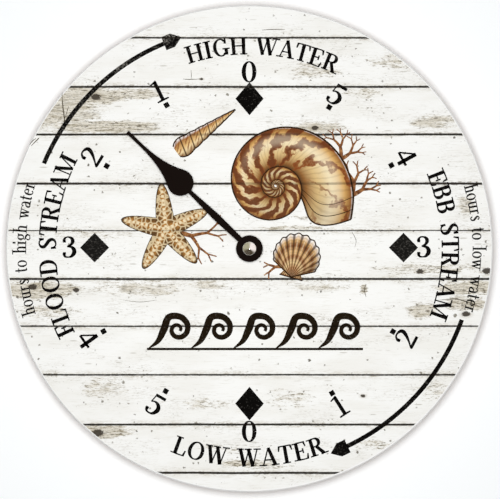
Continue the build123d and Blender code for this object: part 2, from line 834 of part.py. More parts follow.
# Battery contacts: a bowed leaf at the flat end, a flat strip at the nipple end
contact_rear = battery_depth - contact_w / 2
leaf_x = -cavity_half + contact_thick / 2
run_z = rib_top_z + contact_thick / 2
battery_right_x = cavity_half - contact_thick - contact_gap
battery_left_x = battery_right_x - battery_len
with BuildPart() as negative_contact:
    with BuildSketch(layer(contact_rear)):
        with BuildLine():
            Polyline(
                (leaf_x, battery_z - contact_half),
                (battery_left_x - contact_gap - contact_thick / 2, battery_z),
                (leaf_x, battery_z + contact_half),
                (leaf_x, run_z),
                (contact_tab_x, run_z),
                (contact_tab_x, contact_top_z),
            )
        trace(line_width=contact_thick)
    extrude(amount=contact_w)
    with BuildSketch(layer(contact_rear)):
        with Locations((contact_tab_x, (run_z + contact_top_z) / 2)):
            Rectangle(contact_thick, contact_top_z - run_z)
    extrude(amount=board_rear - contact_rear)
save(negative_contact.part, "negative_contact")

with BuildPart() as positive_contact:
    with BuildSketch(layer(contact_rear)):
        with Locations((cavity_half - contact_thick / 2, (battery_z - contact_half + contact_top_z) / 2)):
            Rectangle(contact_thick, contact_top_z - battery_z + contact_half)
    extrude(amount=contact_w)
    with BuildSketch(layer(contact_rear)):
        with Locations((cavity_half - contact_thick / 2, (run_z + contact_top_z) / 2)):
            Rectangle(contact_thick, contact_top_z - run_z)
    extrude(amount=board_rear - contact_rear)
save(positive_contact.part, "positive_contact")

# Battery, lying along X in its bay
with BuildPart() as battery:
    with BuildSketch(Plane.YZ.offset(battery_left_x)):
        with Locations((-battery_depth, battery_z)):
            Circle(battery_r)
    extrude(amount=battery_len - nipple_len)
    with BuildSketch(Plane.YZ.offset(battery_right_x - nipple_len)):
        with Locations((-battery_depth, battery_z)):
            Circle(nipple_r)
    extrude(amount=nipple_len)
save(battery.part, "battery")

# Hand: round eye, slim stem, round belly and a long point
taper_len = hand_len - belly_at
taper = [(belly_r * width, belly_at + taper_len * along) for along, width in taper_shares]
with BuildSketch() as hand_outline:
    with BuildLine():
        side = Polyline(
            (0, 0),
            (stem_root_w / 2, 0),
            (stem_root_w / 2, eye_r),
            (stem_mid_w / 2, stem_mid_at),
            (stem_neck_w / 2, stem_neck_at),
            (stem_neck_w / 2, belly_at),
            (0, belly_at),
            close=True,
        )
    make_face()
    with BuildLine():
        flank = Spline(*taper, (tip_w / 2, hand_len))
        Polyline(flank @ 1, (0, hand_len), (0, belly_at), flank @ 0)
    make_face()
    mirror(about=Plane.YZ)
    Circle(eye_r)
    with Locations((0, belly_at)):
        Circle(belly_r)
with BuildPart() as tide_hand:
    with BuildSketch(layer(hand_back)):
        add(hand_outline.sketch, rotation=hand_angle)
        with BuildSketch(mode=Mode.SUBTRACT):
            Circle(seat_r + thread_gap)
            Rectangle(2 * seat_r + 2 * thread_gap, seat_flats + 2 * thread_gap, mode=Mode.INTERSECT)
    extrude(amount=hand_thick)
save(tide_hand.part, "tide_hand")

# Cap nut: a low pointed cap that holds the hand on its seat
with BuildPart() as cap_nut:
    with BuildSketch(Plane.XY):
        with BuildLine():
            Polyline(
                (0, -hand_front),
                (cap_r, -hand_front),
                (cap_r, -hand_front - cap_skirt),
                (cap_r - cap_shoulder, -hand_front - cap_skirt - cap_shoulder),
                (0, -hand_front - cap_height),
                close=True,
            )
        make_face()
    revolve(axis=Axis.Y)
    with BuildSketch(layer(hand_front)):
        Circle(tip_thread_r + thread_gap)
    extrude(amount=cap_bore, mode=Mode.SUBTRACT)
save(cap_nut.part, "cap_nut")
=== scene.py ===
import json
from functools import reduce
from math import cos, hypot, pi, radians, sin, tau

import bmesh
import bpy
from mathutils import Matrix, Vector


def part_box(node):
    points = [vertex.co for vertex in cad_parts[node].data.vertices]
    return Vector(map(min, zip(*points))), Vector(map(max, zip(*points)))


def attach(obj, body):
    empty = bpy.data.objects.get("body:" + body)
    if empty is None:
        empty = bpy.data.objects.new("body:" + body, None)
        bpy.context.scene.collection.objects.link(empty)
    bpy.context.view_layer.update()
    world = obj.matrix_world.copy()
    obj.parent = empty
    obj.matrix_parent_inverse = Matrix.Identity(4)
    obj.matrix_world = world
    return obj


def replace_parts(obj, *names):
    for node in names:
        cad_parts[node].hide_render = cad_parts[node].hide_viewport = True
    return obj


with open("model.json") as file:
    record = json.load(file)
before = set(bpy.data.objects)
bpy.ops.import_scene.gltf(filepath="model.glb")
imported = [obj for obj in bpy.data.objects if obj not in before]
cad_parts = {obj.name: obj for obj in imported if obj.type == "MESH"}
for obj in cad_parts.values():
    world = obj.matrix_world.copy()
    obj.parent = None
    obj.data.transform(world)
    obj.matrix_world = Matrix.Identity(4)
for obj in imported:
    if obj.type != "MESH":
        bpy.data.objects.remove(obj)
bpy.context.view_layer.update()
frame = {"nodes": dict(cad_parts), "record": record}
nodes = frame["nodes"]
mm = 0.001

# The photograph's frame: the dial's centre in pixels and what a pixel covers on the print
dial_px = 249.39
dial_py = 248.65
frame_w = 500
frame_h = 499
pixel = 0.6255 * mm

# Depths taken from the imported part; the dial faces -Y
print_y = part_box("printed_face")[0].y
dial_back_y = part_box("dial_disc")[1].y
bushing_end_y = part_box("threaded_bushing")[0].y
cover_back_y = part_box("back_cover")[1].y
ink_thick = 0.04 * mm
picture_thick = 0.02 * mm
outline_layers = 3


class Signal:
    """A node socket; arithmetic on it adds Math nodes to its tree."""

    def __init__(self, socket):
        self.socket = socket

    def node(self, kind, inputs, output=0, **settings):
        """Add any other node: its settings first, then the values or links of its sockets."""
        tree = self.socket.id_data
        new = tree.nodes.new(kind)
        for key, value in settings.items():
            setattr(new, key, value)
        for key, value in inputs.items():
            if isinstance(value, Signal):
                tree.links.new(value.socket, new.inputs[key])
            else:
                new.inputs[key].default_value = value
        return Signal(new.outputs[output])

    def math(self, operation, *others):
        inputs = {0: self}
        inputs.update({index: other for index, other in enumerate(others, 1)})
        return self.node("ShaderNodeMath", inputs, operation=operation)

    def __add__(self, other):
        return self.math("ADD", other)

    def __sub__(self, other):
        return self.math("SUBTRACT", other)

    def __rsub__(self, other):
        return self.node("ShaderNodeMath", {0: other, 1: self}, operation="SUBTRACT")

    def __mul__(self, other):
        return self.math("MULTIPLY", other)

    def __truediv__(self, other):
        return self.math("DIVIDE", other)

    def __abs__(self):
        return self.math("ABSOLUTE")

    def part(self, axis):
        """One component of a vector."""
        return self.node("ShaderNodeSeparateXYZ", {0: self}, output=axis)

    def step(self, low, high):
        """A smooth step from 0 at low to 1 at high."""
        inputs = {"Value": self, "From Min": low, "From Max": high}
        return self.node("ShaderNodeMapRange", inputs, interpolation_type="SMOOTHSTEP")

    def ramp(self, *stops):
        """A colour from this value, along stops of a place and a screen colour."""
        colors = self.node("ShaderNodeValToRGB", {0: self})
        elements = colors.socket.node.color_ramp.elements
        for at, *shade in stops:
            elements.new(at).color = tone(*shade)
        elements.remove(elements[0])
        elements.remove(elements[-1])
        return colors

    def over(self, below, color):
        """Lay color over the colour below, with this value as its cover."""
        return self.node("ShaderNodeMix", {0: self, 6: below, 7: color}, output=2, data_type="RGBA")

    def noise(self, scale, detail=3.0, rough=0.5):
        """Smooth noise at this place, about 0.5 with most of it from 0.3 to 0.7."""
        inputs = {"Vector": self, "Scale": scale, "Detail": detail, "Roughness": rough}
        return self.node("ShaderNodeTexNoise", inputs)

    def cells(self, scale, output=0, feature="F1"):
        """Voronoi cells at this place: 0 is the distance, 1 a random colour."""
        inputs = {"Vector": self, "Scale": scale}
        return self.node("ShaderNodeTexVoronoi", inputs, output=output, feature=feature)

    def stretch(self, x, y, z, shift=0.0):
        """This vector scaled along each axis, and moved."""
        inputs = {0: self, 1: (x, y, z), 2: (shift, shift, shift)}
        return self.node("ShaderNodeVectorMath", inputs, operation="MULTIPLY_ADD")


def tone(red, green, blue):
    """A screen colour as the linear colour that sockets take."""
    shares = (red / 255, green / 255, blue / 255)
    linear = [c / 12.92 if c <= 0.04045 else ((c + 0.055) / 1.055) ** 2.4 for c in shares]
    return (*linear, 1.0)


def layered(color, *covers):
    """Lay screen colours over a colour in turn, each given after the signal that covers with it."""
    for cover, shade in covers:
        color = cover.over(color, tone(*shade))
    return color


def chosen(operation, signals):
    """The greatest or the least of several signals at each place."""
    return reduce(lambda one, other: one.math(operation, other), signals)


def finish(name, color, roughness, metallic=0.0, specular=0.5):
    """A new material with these even values, and the Object coordinates in it."""
    material = bpy.data.materials.new(name)
    material.use_nodes = True
    shader = material.node_tree.nodes["Principled BSDF"]
    shader.inputs["Base Color"].default_value = color
    shader.inputs["Roughness"].default_value = roughness
    shader.inputs["Metallic"].default_value = metallic
    shader.inputs["Specular IOR Level"].default_value = specular
    coordinates = material.node_tree.nodes.new("ShaderNodeTexCoord")
    return material, Signal(coordinates.outputs["Object"])


def dress(material, color, roughness=None, metallic=None, bump=None):
    """Link what changes over a material; bump is a height and how many metres it raises."""
    links = {"Base Color": color, "Roughness": roughness, "Metallic": metallic}
    if bump:
        height, depth = bump
        links["Normal"] = height.node("ShaderNodeBump", {"Height": height, "Distance": depth})
    shader = material.node_tree.nodes["Principled BSDF"]
    for socket, signal in links.items():
        if signal:
            material.node_tree.links.new(signal.socket, shader.inputs[socket])
    return material


# Plank rows of the print: each gap's row and half width in pixels
plank_gaps = [
    (37.8, 0.75), (86.8, 0.9), (134.5, 0.9), (183.6, 1.0), (230.6, 0.4),
    (279.0, 0.95), (326.2, 0.65), (374.8, 0.7), (424.5, 0.9), (472.9, 0.95),
]
# Weathered places in pixels: centre, half width, half height and how far the paint is gone
weathered = [
    (52, 108, 84, 36, 0.78), (106, 127, 82, 10, 1.05), (92, 96, 58, 14, 0.95), (128, 94, 60, 10, 0.65),
    (312, 71, 52, 16, 0.48), (317, 127, 46, 10, 0.7), (362, 93, 36, 8, 0.45), (432, 122, 40, 13, 0.62),
    (430, 269, 100, 11, 0.5), (470, 288, 56, 12, 0.85), (322, 287, 60, 8, 0.45), (364, 289, 7, 10, 0.6),
    (422, 311, 26, 14, 0.75), (468, 303, 38, 14, 0.7), (466, 205, 15, 20, 0.6), (40, 290, 62, 15, 0.9),
    (50, 312, 60, 14, 0.5), (140, 289, 76, 13, 0.58), (206, 285, 36, 8, 0.6), (104, 432, 48, 13, 0.68),
    (434, 391, 34, 20, 0.38), (104, 388, 44, 20, 0.45), (208, 404, 38, 10, 0.5), (252, 464, 70, 9, 0.55),
    (318, 218, 38, 8, 0.5), (296, 228, 64, 4, 0.6), (290, 399, 44, 24, 0.4), (318, 319, 38, 8, 0.4),
    (386, 445, 80, 10, 0.4), (84, 235, 80, 7, 0.4), (400, 62, 64, 17, 0.42), (230, 448, 60, 10, 0.35),
]
# Knots in pixels: centre and radius
knots = [(96, 97, 3.6), (420, 271.5, 2.8), (487, 271, 3.4), (33, 287, 3.2), (98, 433, 4.2), (76, 290, 2.4),
         (201.5, 79, 1.3), (363, 396, 1.8), (158, 253, 1.8), (466, 314, 3.0), (315, 128, 2.6)]
# Cracks and scratches as lines of pixels with a width: x, y, width
cracks = [
    [(62, 92, 0.3), (62.6, 104, 1.1), (64.2, 117, 1.2), (65, 131, 0.5)],
    [(64.5, 119, 0.4), (67.5, 110, 0.7), (68.5, 106, 0.2)],
    [(39, 138, 0.9), (35, 142, 0.9), (31, 146, 0.4)],
    [(36, 138.5, 0.3), (33, 140.5, 0.8), (29.5, 145, 0.3)],
    [(191, 70, 0.3), (191.4, 75, 0.5), (191.2, 79, 0.2)],
    [(440, 300, 0.3), (456, 299, 0.9), (470, 303, 0.9), (481, 307, 0.3)],
    [(366, 284, 0.5), (364.5, 290, 0.8), (366, 297, 0.3)],
    [(352, 232, 0.3), (356, 240, 0.5), (355, 247, 0.2)],
    [(123, 300, 0.2), (140, 302, 0.5), (157, 300, 0.2)],
    [(262, 30, 0.4), (274, 29.4, 0.7), (285, 29.6, 0.3)],
    [(183, 79, 0.3), (189, 79.4, 0.7), (200, 79, 0.4)],
]
# The ink's own circle in pixels, a little off the board's centre, so a white rim shows at the lower right
print_middle = (248.98, 247.5)
print_r = 242.4


def print_spot(place):
    """A place on the dial in pixels of the photograph: how far down, and both ways as a vector."""
    across = place.part(0) / pixel + dial_px
    down = dial_py - place.part(2) / pixel
    return down, across.node("ShaderNodeCombineXYZ", {0: across, 1: down})


def patch(spot, px, py, half_w, half_h):
    """1 in the middle of an ellipse given in pixels, falling to 0 at its edge."""
    flat = {0: spot, 1: (1 / half_w, 1 / half_h, 0.0), 2: (-px / half_w, -py / half_h, 0.0)}
    away = spot.node("ShaderNodeVectorMath", flat, operation="MULTIPLY_ADD")
    return away.node("ShaderNodeVectorMath", {0: away}, output="Value", operation="LENGTH").step(1.0, 0.2)


def gap_reach(spot, down):
    """How far a place lies outside the nearest gap between planks, in pixels; below 0 inside it."""
    sway = spot.stretch(0.012, 0.003, 0.0).noise(1.0, 2.0) - 0.5
    ragged = spot.stretch(0.3, 0.1, 0.0).noise(1.0, 3.0) - 0.5
    nearest = chosen("MINIMUM", (abs(down + sway - row) - half_w for row, half_w in plank_gaps))
    return nearest + ragged * 0.7


def specks(spot, pitch, share, size, shift):
    """Small ragged specks, one at most in each cell of the pitch in pixels."""
    stir = spot.node("ShaderNodeTexNoise", {"Vector": spot, "Scale": 0.8}, output="Color")
    bent = spot.node("ShaderNodeVectorMath", {0: stir, 1: (4.0, 3.0, 0.0), 2: spot}, operation="MULTIPLY_ADD")
    field = bent.stretch(1 / pitch, 1 / pitch, 0.0, shift)
    pick = field.cells(1.0, output=1)
    there = pick.part(0).step(1.0 - share, 1.0 - share + 0.02)
    radius = (pick.part(1) * 0.8 + 0.5) * size
    return (radius - field.cells(1.0) * pitch).step(-0.3, 0.3) * there


def dashes(spot, long, high, share, shift):
    """Short thin dashes that lie along the planks."""
    field = spot.stretch(1 / long, 1 / high, 0.0, shift)
    pick = field.cells(1.0, output=1)
    return field.cells(1.0).step(0.34, 0.18) * pick.part(0).step(1.0 - share, 1.02 - share)


def planks():
    """Whitewashed planks as a print: paint, grain, worn places, knots, specks and gaps."""
    material, place = finish("whitewashed_planks", tone(247, 247, 243), 0.6, specular=0.2)
    down, spot = print_spot(place)
    wear = chosen("MAXIMUM", (patch(spot, *oval) * gone for *oval, gone in weathered))
    streak = spot.stretch(0.06, 0.8, 0.0, 3.1).noise(1.0, 6.0, 0.7)
    fine = spot.stretch(0.28, 1.1, 0.0, 5.7).noise(1.0, 4.0, 0.75)
    crumb = spot.stretch(0.6, 0.95, 0.0, 8.8).noise(1.0, 3.0, 0.7)
    cloud = spot.stretch(0.014, 0.05, 0.0, 7.7).noise(1.0, 3.0, 0.55)
    fray = spot.stretch(0.05, 0.2, 0.0, 1.9).noise(1.0, 6.0, 0.7)
    flurry = spot.stretch(0.021, 0.05, 0.0, 4.4).noise(1.0, 3.0, 0.6).step(0.47, 0.62)
    worn = (wear * 1.6 + (fray - 0.5) * 2.2 + (fine - 0.5) * 1.3).step(0.45, 1.1)
    color = layered(
        cloud.step(0.4, 0.68).over(tone(251, 251, 248), tone(245, 244, 239)),
        (streak.step(0.53, 0.66) * 0.45, (230, 227, 218)),
        (worn * 0.8, (222, 215, 199)),
        (worn * streak.step(0.46, 0.56) * 0.9, (186, 177, 156)),
        (worn * crumb.step(0.44, 0.34) * 0.6, (247, 245, 239)),
        (worn * (fine * 0.6 + streak * 0.4).step(0.515, 0.565) * 0.9, (140, 130, 107)),
        (worn * fine.step(0.57, 0.63) * 0.95, (76, 66, 48)),
        (worn * dashes(spot, 9.0, 2.2, 0.45, 2.2) * 0.8, (88, 77, 57)),
        (flurry * (streak * 0.4 + fine * 0.6).step(0.48, 0.6) * 0.55, (214, 211, 203)),
        (dashes(spot, 15.0, 2.4, 0.05, 4.1) * 0.5, (166, 160, 146)),
        (specks(spot, 8.0, 0.5, 0.85, 6.6) * 0.85, (112, 106, 92)),
        (specks(spot, 16.0, 0.55, 1.15, 1.3) * 0.9, (92, 86, 72)),
        (specks(spot, 37.0, 0.6, 1.45, 9.4) * 0.85, (116, 109, 92)),
        (specks(spot, 4.4, 0.45, 0.65, 2.9) * flurry * 0.85, (122, 115, 98)),
        (fine.step(0.6, 0.7) * flurry * 0.6, (168, 161, 144)))
    for px, py, radius in knots:
        halo = patch(spot, px, py, radius * 3.4, radius * 1.8) * fray.step(0.3, 0.6) * 0.6
        core = patch(spot, px, py, radius * 2.2, radius * 1.5) + (crumb * 0.5 + fine * 0.5 - 0.5) * 2.4
        color = layered(color, (halo, (166, 152, 126)), (core.step(0.35, 0.65) * 0.95, (46, 36, 22)))
    reach = gap_reach(spot, down)
    shade = reach.step(6.0, 0.0) * (fray * 0.5 + fine * 0.5).step(0.45, 0.58)
    ends = {0: spot, 1: (*print_middle, 0.0)}
    out = spot.node("ShaderNodeVectorMath", ends, output="Value", operation="DISTANCE")
    color = layered(
        color,
        (shade * 0.45, (190, 181, 160)),
        (reach.step(1.7, 0.2) * fine.step(0.5, 0.6) * flurry * 0.7, (110, 98, 74)),
        (reach.step(0.5, -0.2), (28, 22, 13)),
        (out.step(print_r - 0.3, print_r + 0.3), (254, 254, 253)))
    return dress(material, color, bump=(spot.noise(1.6, 2.0), 0.01 * mm))


# Places where the ink is thin, in pixels: centre, half width and half height
thin_ink = [(170, 34, 16, 8), (163, 41, 12, 6), (250, 85, 12, 5), (220, 38, 40, 5), (118, 64, 14, 10)]


def ink(name, color, worn, faded=tone(150, 146, 138)):
    """Printing ink a little rubbed off in flecks; worn is the share of ink that is gone."""
    material, place = finish(name, color, 0.8, specular=0.03)
    down, spot = print_spot(place)
    thin = chosen("MAXIMUM", (patch(spot, *oval) for oval in thin_ink))
    flecks = spot.stretch(0.45, 0.6, 0.0, 2.3).noise(1.0, 5.0, 0.75) + thin * 0.08
    rubbed = flecks.step(0.62 - 0.2 * worn, 0.74 - 0.2 * worn)
    cover = (rubbed * (thin * 0.25 + (0.3 + 0.4 * worn))).math("MINIMUM", 1.0)
    seam = gap_reach(spot, down).step(0.5, -0.2) * 0.8
    return dress(material, layered(cover.over(color, faded), (seam, (20, 15, 9))))


def new_piece(name, shape, body, material, crease=radians(35)):
    """Finish a bmesh as a piece that rides on a body."""
    mesh = bpy.data.meshes.new(name)
    shape.to_mesh(mesh)
    shape.free()
    mesh.shade_smooth()
    mesh.set_sharp_from_angle(angle=crease)
    mesh.materials.append(material)
    piece = bpy.data.objects.new(name, mesh)
    bpy.context.scene.collection.objects.link(piece)
    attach(piece, body)
    return piece


def raise_print(shape, thick):
    """Turn the flat faces of a printed shape into a thin slab that faces -Y."""
    flat = bmesh.ops.extrude_face_region(shape, geom=shape.faces[:])
    raised = [v for v in flat["geom"] if isinstance(v, bmesh.types.BMVert)]
    bmesh.ops.translate(shape, verts=raised, vec=(0, -thick, 0))
    bmesh.ops.recalc_face_normals(shape, faces=shape.faces[:])


def swung(px, py, reach, angle):
    """The pixel at a reach from another one, anticlockwise from the right by an angle in radians."""
    return px + reach * cos(angle), py - reach * sin(angle)


def on_print(px, py, lift=0.0):
    """The place in the clock of a pixel of the photograph, on the print or lifted off it."""
    return Vector(((px - dial_px) * pixel, print_y - lift, (dial_py - py) * pixel))


def along(points, share):
    """The point and width at a share of the smooth line through points of (x, y, width)."""
    last = len(points) - 1
    first = min(int(share * last), last - 1)
    s = share * last - first
    near = [points[min(max(first + k, 0), last)] for k in (-1, 0, 1, 2)]
    return [
        b + 0.5 * s * (c - a + s * (2 * a - 5 * b + 4 * c - d + s * (3 * (b - c) + d - a)))
        for a, b, c, d in zip(*near)
    ]


def stroke(shape, points, steps, place_at):
    """A pen stroke: a strip along the smooth line through points of (x, y, width)."""
    strip = bmesh.ops.create_grid(shape, x_segments=steps, y_segments=1, size=0.5)
    for vert in strip["verts"]:
        share = vert.co.x + 0.5
        x, y, width = along(points, share)
        ahead = along(points, min(share + 0.02, 1.0))
        behind = along(points, max(share - 0.02, 0.0))
        run = (ahead[0] - behind[0], ahead[1] - behind[1])
        aside = 2 * vert.co.y * width / 2 / hypot(*run)
        vert.co = place_at(x - run[1] * aside, y + run[0] * aside)


# Degrees between the points of a round stroke, and how quickly its pen thins
bowl_turn = 30
bowl_thinning = 1.4


def bowl(x, y, half_w, half_h, start, end):
    """A round pen stroke, thick at its sides and thin at top and bottom."""
    count = max(3, round(abs(end - start) / bowl_turn))
    turns = [radians(start + (end - start) * k / count) for k in range(count + 1)]
    return [(x + half_w * cos(a), y + half_h * sin(a), abs(cos(a)) ** bowl_thinning) for a in turns]


def post(x, top=1):
    """An upright stem."""
    return [(x, 0, 1), (x, top, 1)]


def bar(left, right, y, weight=0):
    """A level stroke, a hairline unless it has a weight."""
    return [(left, y, weight), (right, y, weight)]


# Letters and figures, 1 high: advance, pen strokes of (x, y, weight) and the feet that carry serifs
letters = {
    "0": (0.7, [bowl(0.35, 0.5, 0.25, 0.47, 0, 360)], []),
    "1": (0.62, [[(0.31, 0, 0.8), (0.31, 0.99, 0.8)],
                 [(0.05, 0.9, 0.05), (0.2, 0.935, 0.15), (0.38, 0.99, 0.3)],
                 [(0.02, 0.03, 0.05), (0.31, 0.045, 0.3), (0.6, 0.03, 0.05)]], []),
    "2": (0.66, [[(0.11, 0.73, 0.75), (0.1, 0.82, 0.55), (0.2, 0.95, 0.2), (0.36, 0.965, 0.25),
                  (0.53, 0.87, 0.75), (0.55, 0.71, 0.9), (0.42, 0.48, 0.55), (0.24, 0.27, 0.2),
                  (0.06, 0.09, 0.1)], bar(0.04, 0.18, 0.74, 0.4),
                 [(0.02, 0.05, 0.1), (0.14, 0.07, 0.55), (0.66, 0.075, 0.6)]], []),
    "3": (0.67, [[(0.1, 0.77, 0.7), (0.1, 0.85, 0.5), (0.18, 0.95, 0.15), (0.3, 0.97, 0.1), (0.45, 0.91, 0.6),
                  (0.5, 0.77, 0.85), (0.42, 0.62, 0.4), (0.24, 0.53, 0)],
                 [(0.24, 0.53, 0), (0.44, 0.5, 0.5), (0.56, 0.38, 0.95), (0.56, 0.22, 1), (0.44, 0.07, 0.5),
                  (0.3, 0.03, 0.05), (0.16, 0.05, 0.3), (0.1, 0.14, 0.55), (0.11, 0.22, 0.75)],
                 bar(0.04, 0.18, 0.77, 0.4), bar(0.04, 0.18, 0.2, 0.45)], []),
    "4": (0.72, [[(0.48, 0, 0.85), (0.48, 0.97, 0.85)], [(0.46, 0.95, 0.15), (0.03, 0.32, 0.1)],
                 [(0.01, 0.3, 0.4), (0.72, 0.3, 0.45)]], []),
    "5": (0.69, [[(0.17, 0.925, 0.55), (0.69, 0.925, 0.6)], [(0.2, 0.9, 0), (0.13, 0.54, 0)],
                 [(0.13, 0.55, 0), (0.28, 0.615, 0.15), (0.46, 0.57, 0.65), (0.58, 0.42, 1), (0.57, 0.25, 1),
                  (0.45, 0.08, 0.5), (0.3, 0.03, 0.1), (0.15, 0.06, 0.3), (0.1, 0.14, 0.6),
                  (0.1, 0.22, 0.75)],
                 bar(0.03, 0.18, 0.2, 0.45)], []),
    "A": (0.9, [[(0.1, 0, 0), (0.43, 1, 0)], [(0.43, 1, 0.9), (0.76, 0, 1)], bar(0.2, 0.65, 0.33)],
          [(0.1, 0), (0.76, 0)]),
    "B": (0.8, [post(0.18), bowl(0.38, 0.75, 0.2, 0.225, 95, -95), bowl(0.4, 0.27, 0.24, 0.25, 95, -95),
                bar(0.18, 0.4, 0.975), bar(0.18, 0.4, 0.52), bar(0.18, 0.4, 0.025)], [(0.14, 0), (0.14, 1)]),
    "D": (0.92, [post(0.18), bowl(0.4, 0.5, 0.36, 0.475, 95, -95), bar(0.18, 0.42, 0.975),
                 bar(0.18, 0.42, 0.025)], [(0.14, 0), (0.14, 1)]),
    "E": (0.8, [post(0.18), bar(0.18, 0.64, 0.975), bar(0.18, 0.5, 0.5), bar(0.18, 0.68, 0.025),
                [(0.62, 1, 0.4), (0.68, 0.72, 0)], [(0.5, 0.64, 0.1), (0.5, 0.36, 0.1)],
                [(0.66, 0, 0.4), (0.73, 0.3, 0)]], [(0.14, 0), (0.14, 1)]),
    "F": (0.74, [post(0.18), bar(0.18, 0.62, 0.975), bar(0.18, 0.48, 0.5), [(0.6, 1, 0.4), (0.67, 0.72, 0)],
                 [(0.48, 0.64, 0.1), (0.48, 0.36, 0.1)]], [(0.18, 0), (0.14, 1)]),
    "G": (0.94, [bowl(0.46, 0.5, 0.34, 0.475, 48, 312), [(0.76, 0.06, 1), (0.76, 0.45, 1)],
                 [(0.74, 1, 0.1), (0.72, 0.7, 0.5)]], [(0.76, 0.45)]),
    "H": (1.0, [post(0.2), post(0.78), bar(0.2, 0.78, 0.51)], [(0.2, 0), (0.2, 1), (0.78, 0), (0.78, 1)]),
    "I": (0.46, [post(0.22)], [(0.22, 0), (0.22, 1)]),
    "L": (0.76, [post(0.2), bar(0.2, 0.66, 0.025), [(0.64, 0, 0.4), (0.71, 0.32, 0)]], [(0.16, 0), (0.2, 1)]),
    "M": (1.16, [[(0.16, 0, 0), (0.16, 1, 0)], [(0.18, 1, 1), (0.54, 0.02, 0.8)],
                 [(0.54, 0.02, 0), (0.9, 1, 0)], post(0.94)], [(0.16, 0), (0.12, 1), (0.94, 0), (0.98, 1)]),
    "O": (0.96, [bowl(0.46, 0.5, 0.36, 0.475, 0, 360)], []),
    "R": (0.9, [post(0.18), bowl(0.4, 0.75, 0.22, 0.225, 95, -95), bar(0.18, 0.42, 0.975),
                bar(0.18, 0.42, 0.52), [(0.42, 0.52, 0.8), (0.72, 0.02, 1)]],
          [(0.18, 0), (0.14, 1), (0.76, 0)]),
    "S": (0.74, [[(0.58, 0.78, 0.1), (0.5, 0.94, 0.1), (0.32, 0.97, 0.1), (0.17, 0.84, 0.7),
                  (0.18, 0.68, 0.9), (0.34, 0.54, 1), (0.52, 0.42, 1), (0.6, 0.26, 0.9), (0.54, 0.1, 0.5),
                  (0.36, 0.025, 0.1), (0.2, 0.07, 0.1), (0.1, 0.26, 0.1)],
                 [(0.6, 1, 0.1), (0.59, 0.72, 0.5)], [(0.1, 0.3, 0.5), (0.11, 0, 0.1)]], []),
    "T": (0.84, [post(0.42), bar(0.08, 0.76, 0.975), [(0.1, 1, 0.4), (0.04, 0.7, 0)],
                 [(0.74, 1, 0.4), (0.8, 0.7, 0)]], [(0.42, 0)]),
    "W": (1.24, [[(0.12, 1, 1), (0.38, 0, 1)], [(0.38, 0, 0), (0.62, 0.96, 0)], [(0.58, 1, 1), (0.84, 0, 1)],
                 [(0.84, 0, 0), (1.1, 1, 0)]], [(0.12, 1), (0.58, 1), (1.1, 1)]),
    "a": (0.52, [[(0.38, 0, 1), (0.38, 0.44, 1), (0.28, 0.63, 0.2), (0.14, 0.6, 0.2), (0.1, 0.5, 0.8)],
                 [(0.38, 0.38, 0), (0.16, 0.31, 0.4), (0.08, 0.15, 1), (0.17, 0.02, 0.3), (0.38, 0.13, 0)]],
          [(0.42, 0)]),
    "e": (0.5, [bar(0.08, 0.42, 0.37, 0.2), bowl(0.25, 0.33, 0.18, 0.31, 8, 318)], []),
    "g": (0.54, [bowl(0.24, 0.42, 0.16, 0.21, 0, 360),
                 [(0.14, 0.24, 0.2), (0.1, 0.1, 0.4), (0.32, 0.04, 1), (0.45, -0.08, 0.8), (0.34, -0.25, 0.2),
                  (0.12, -0.24, 0.2), (0.06, -0.12, 0.5), (0.14, 0.01, 0)],
                 [(0.36, 0.57, 0.2), (0.5, 0.62, 0.8)]], []),
    "h": (0.6, [post(0.14, 1.04), [(0.14, 0.46, 0), (0.27, 0.63, 0.2), (0.42, 0.56, 0.8), (0.44, 0.4, 1),
                                   (0.44, 0, 1)]], [(0.14, 0), (0.44, 0), (0.1, 1.04)]),
    "i": (0.32, [post(0.15, 0.64), bar(0.09, 0.21, 0.9, 2)], [(0.15, 0), (0.11, 0.64)]),
    "l": (0.32, [post(0.15, 1.04)], [(0.15, 0), (0.11, 1.04)]),
    "o": (0.56, [bowl(0.26, 0.32, 0.2, 0.32, 0, 360)], []),
    "r": (0.44, [post(0.14, 0.64), [(0.14, 0.42, 0), (0.24, 0.6, 0.2), (0.38, 0.6, 1)]],
          [(0.14, 0), (0.1, 0.64)]),
    "s": (0.44, [[(0.34, 0.52, 0.6), (0.22, 0.64, 0.2), (0.1, 0.52, 0.8), (0.2, 0.37, 1), (0.34, 0.24, 1),
                  (0.34, 0.08, 0.6), (0.2, 0, 0.2), (0.08, 0.12, 0.6)]], []),
    "t": (0.38, [[(0.16, 0.88, 0.6), (0.16, 0.2, 1), (0.2, 0.04, 0.6), (0.34, 0.06, 0)],
                 bar(0.02, 0.33, 0.62, 0.2)], []),
    "u": (0.6, [[(0.14, 0.64, 1), (0.14, 0.2, 1), (0.2, 0.03, 0.5), (0.34, 0.04, 0.1), (0.44, 0.18, 0)],
                post(0.44, 0.64)], [(0.1, 0.64), (0.4, 0.64), (0.48, 0)]),
    "w": (0.8, [[(0.1, 0.64, 1), (0.26, 0, 0.9)], [(0.26, 0, 0.1), (0.4, 0.6, 0.1)],
                [(0.38, 0.64, 1), (0.54, 0, 0.9)], [(0.54, 0, 0.1), (0.7, 0.64, 0.1)]],
          [(0.08, 0.64), (0.38, 0.64), (0.7, 0.64)]),
    " ": (0.42, [], []),
}
# How far a serif reaches past its stem to each side
serif_reach = 0.11


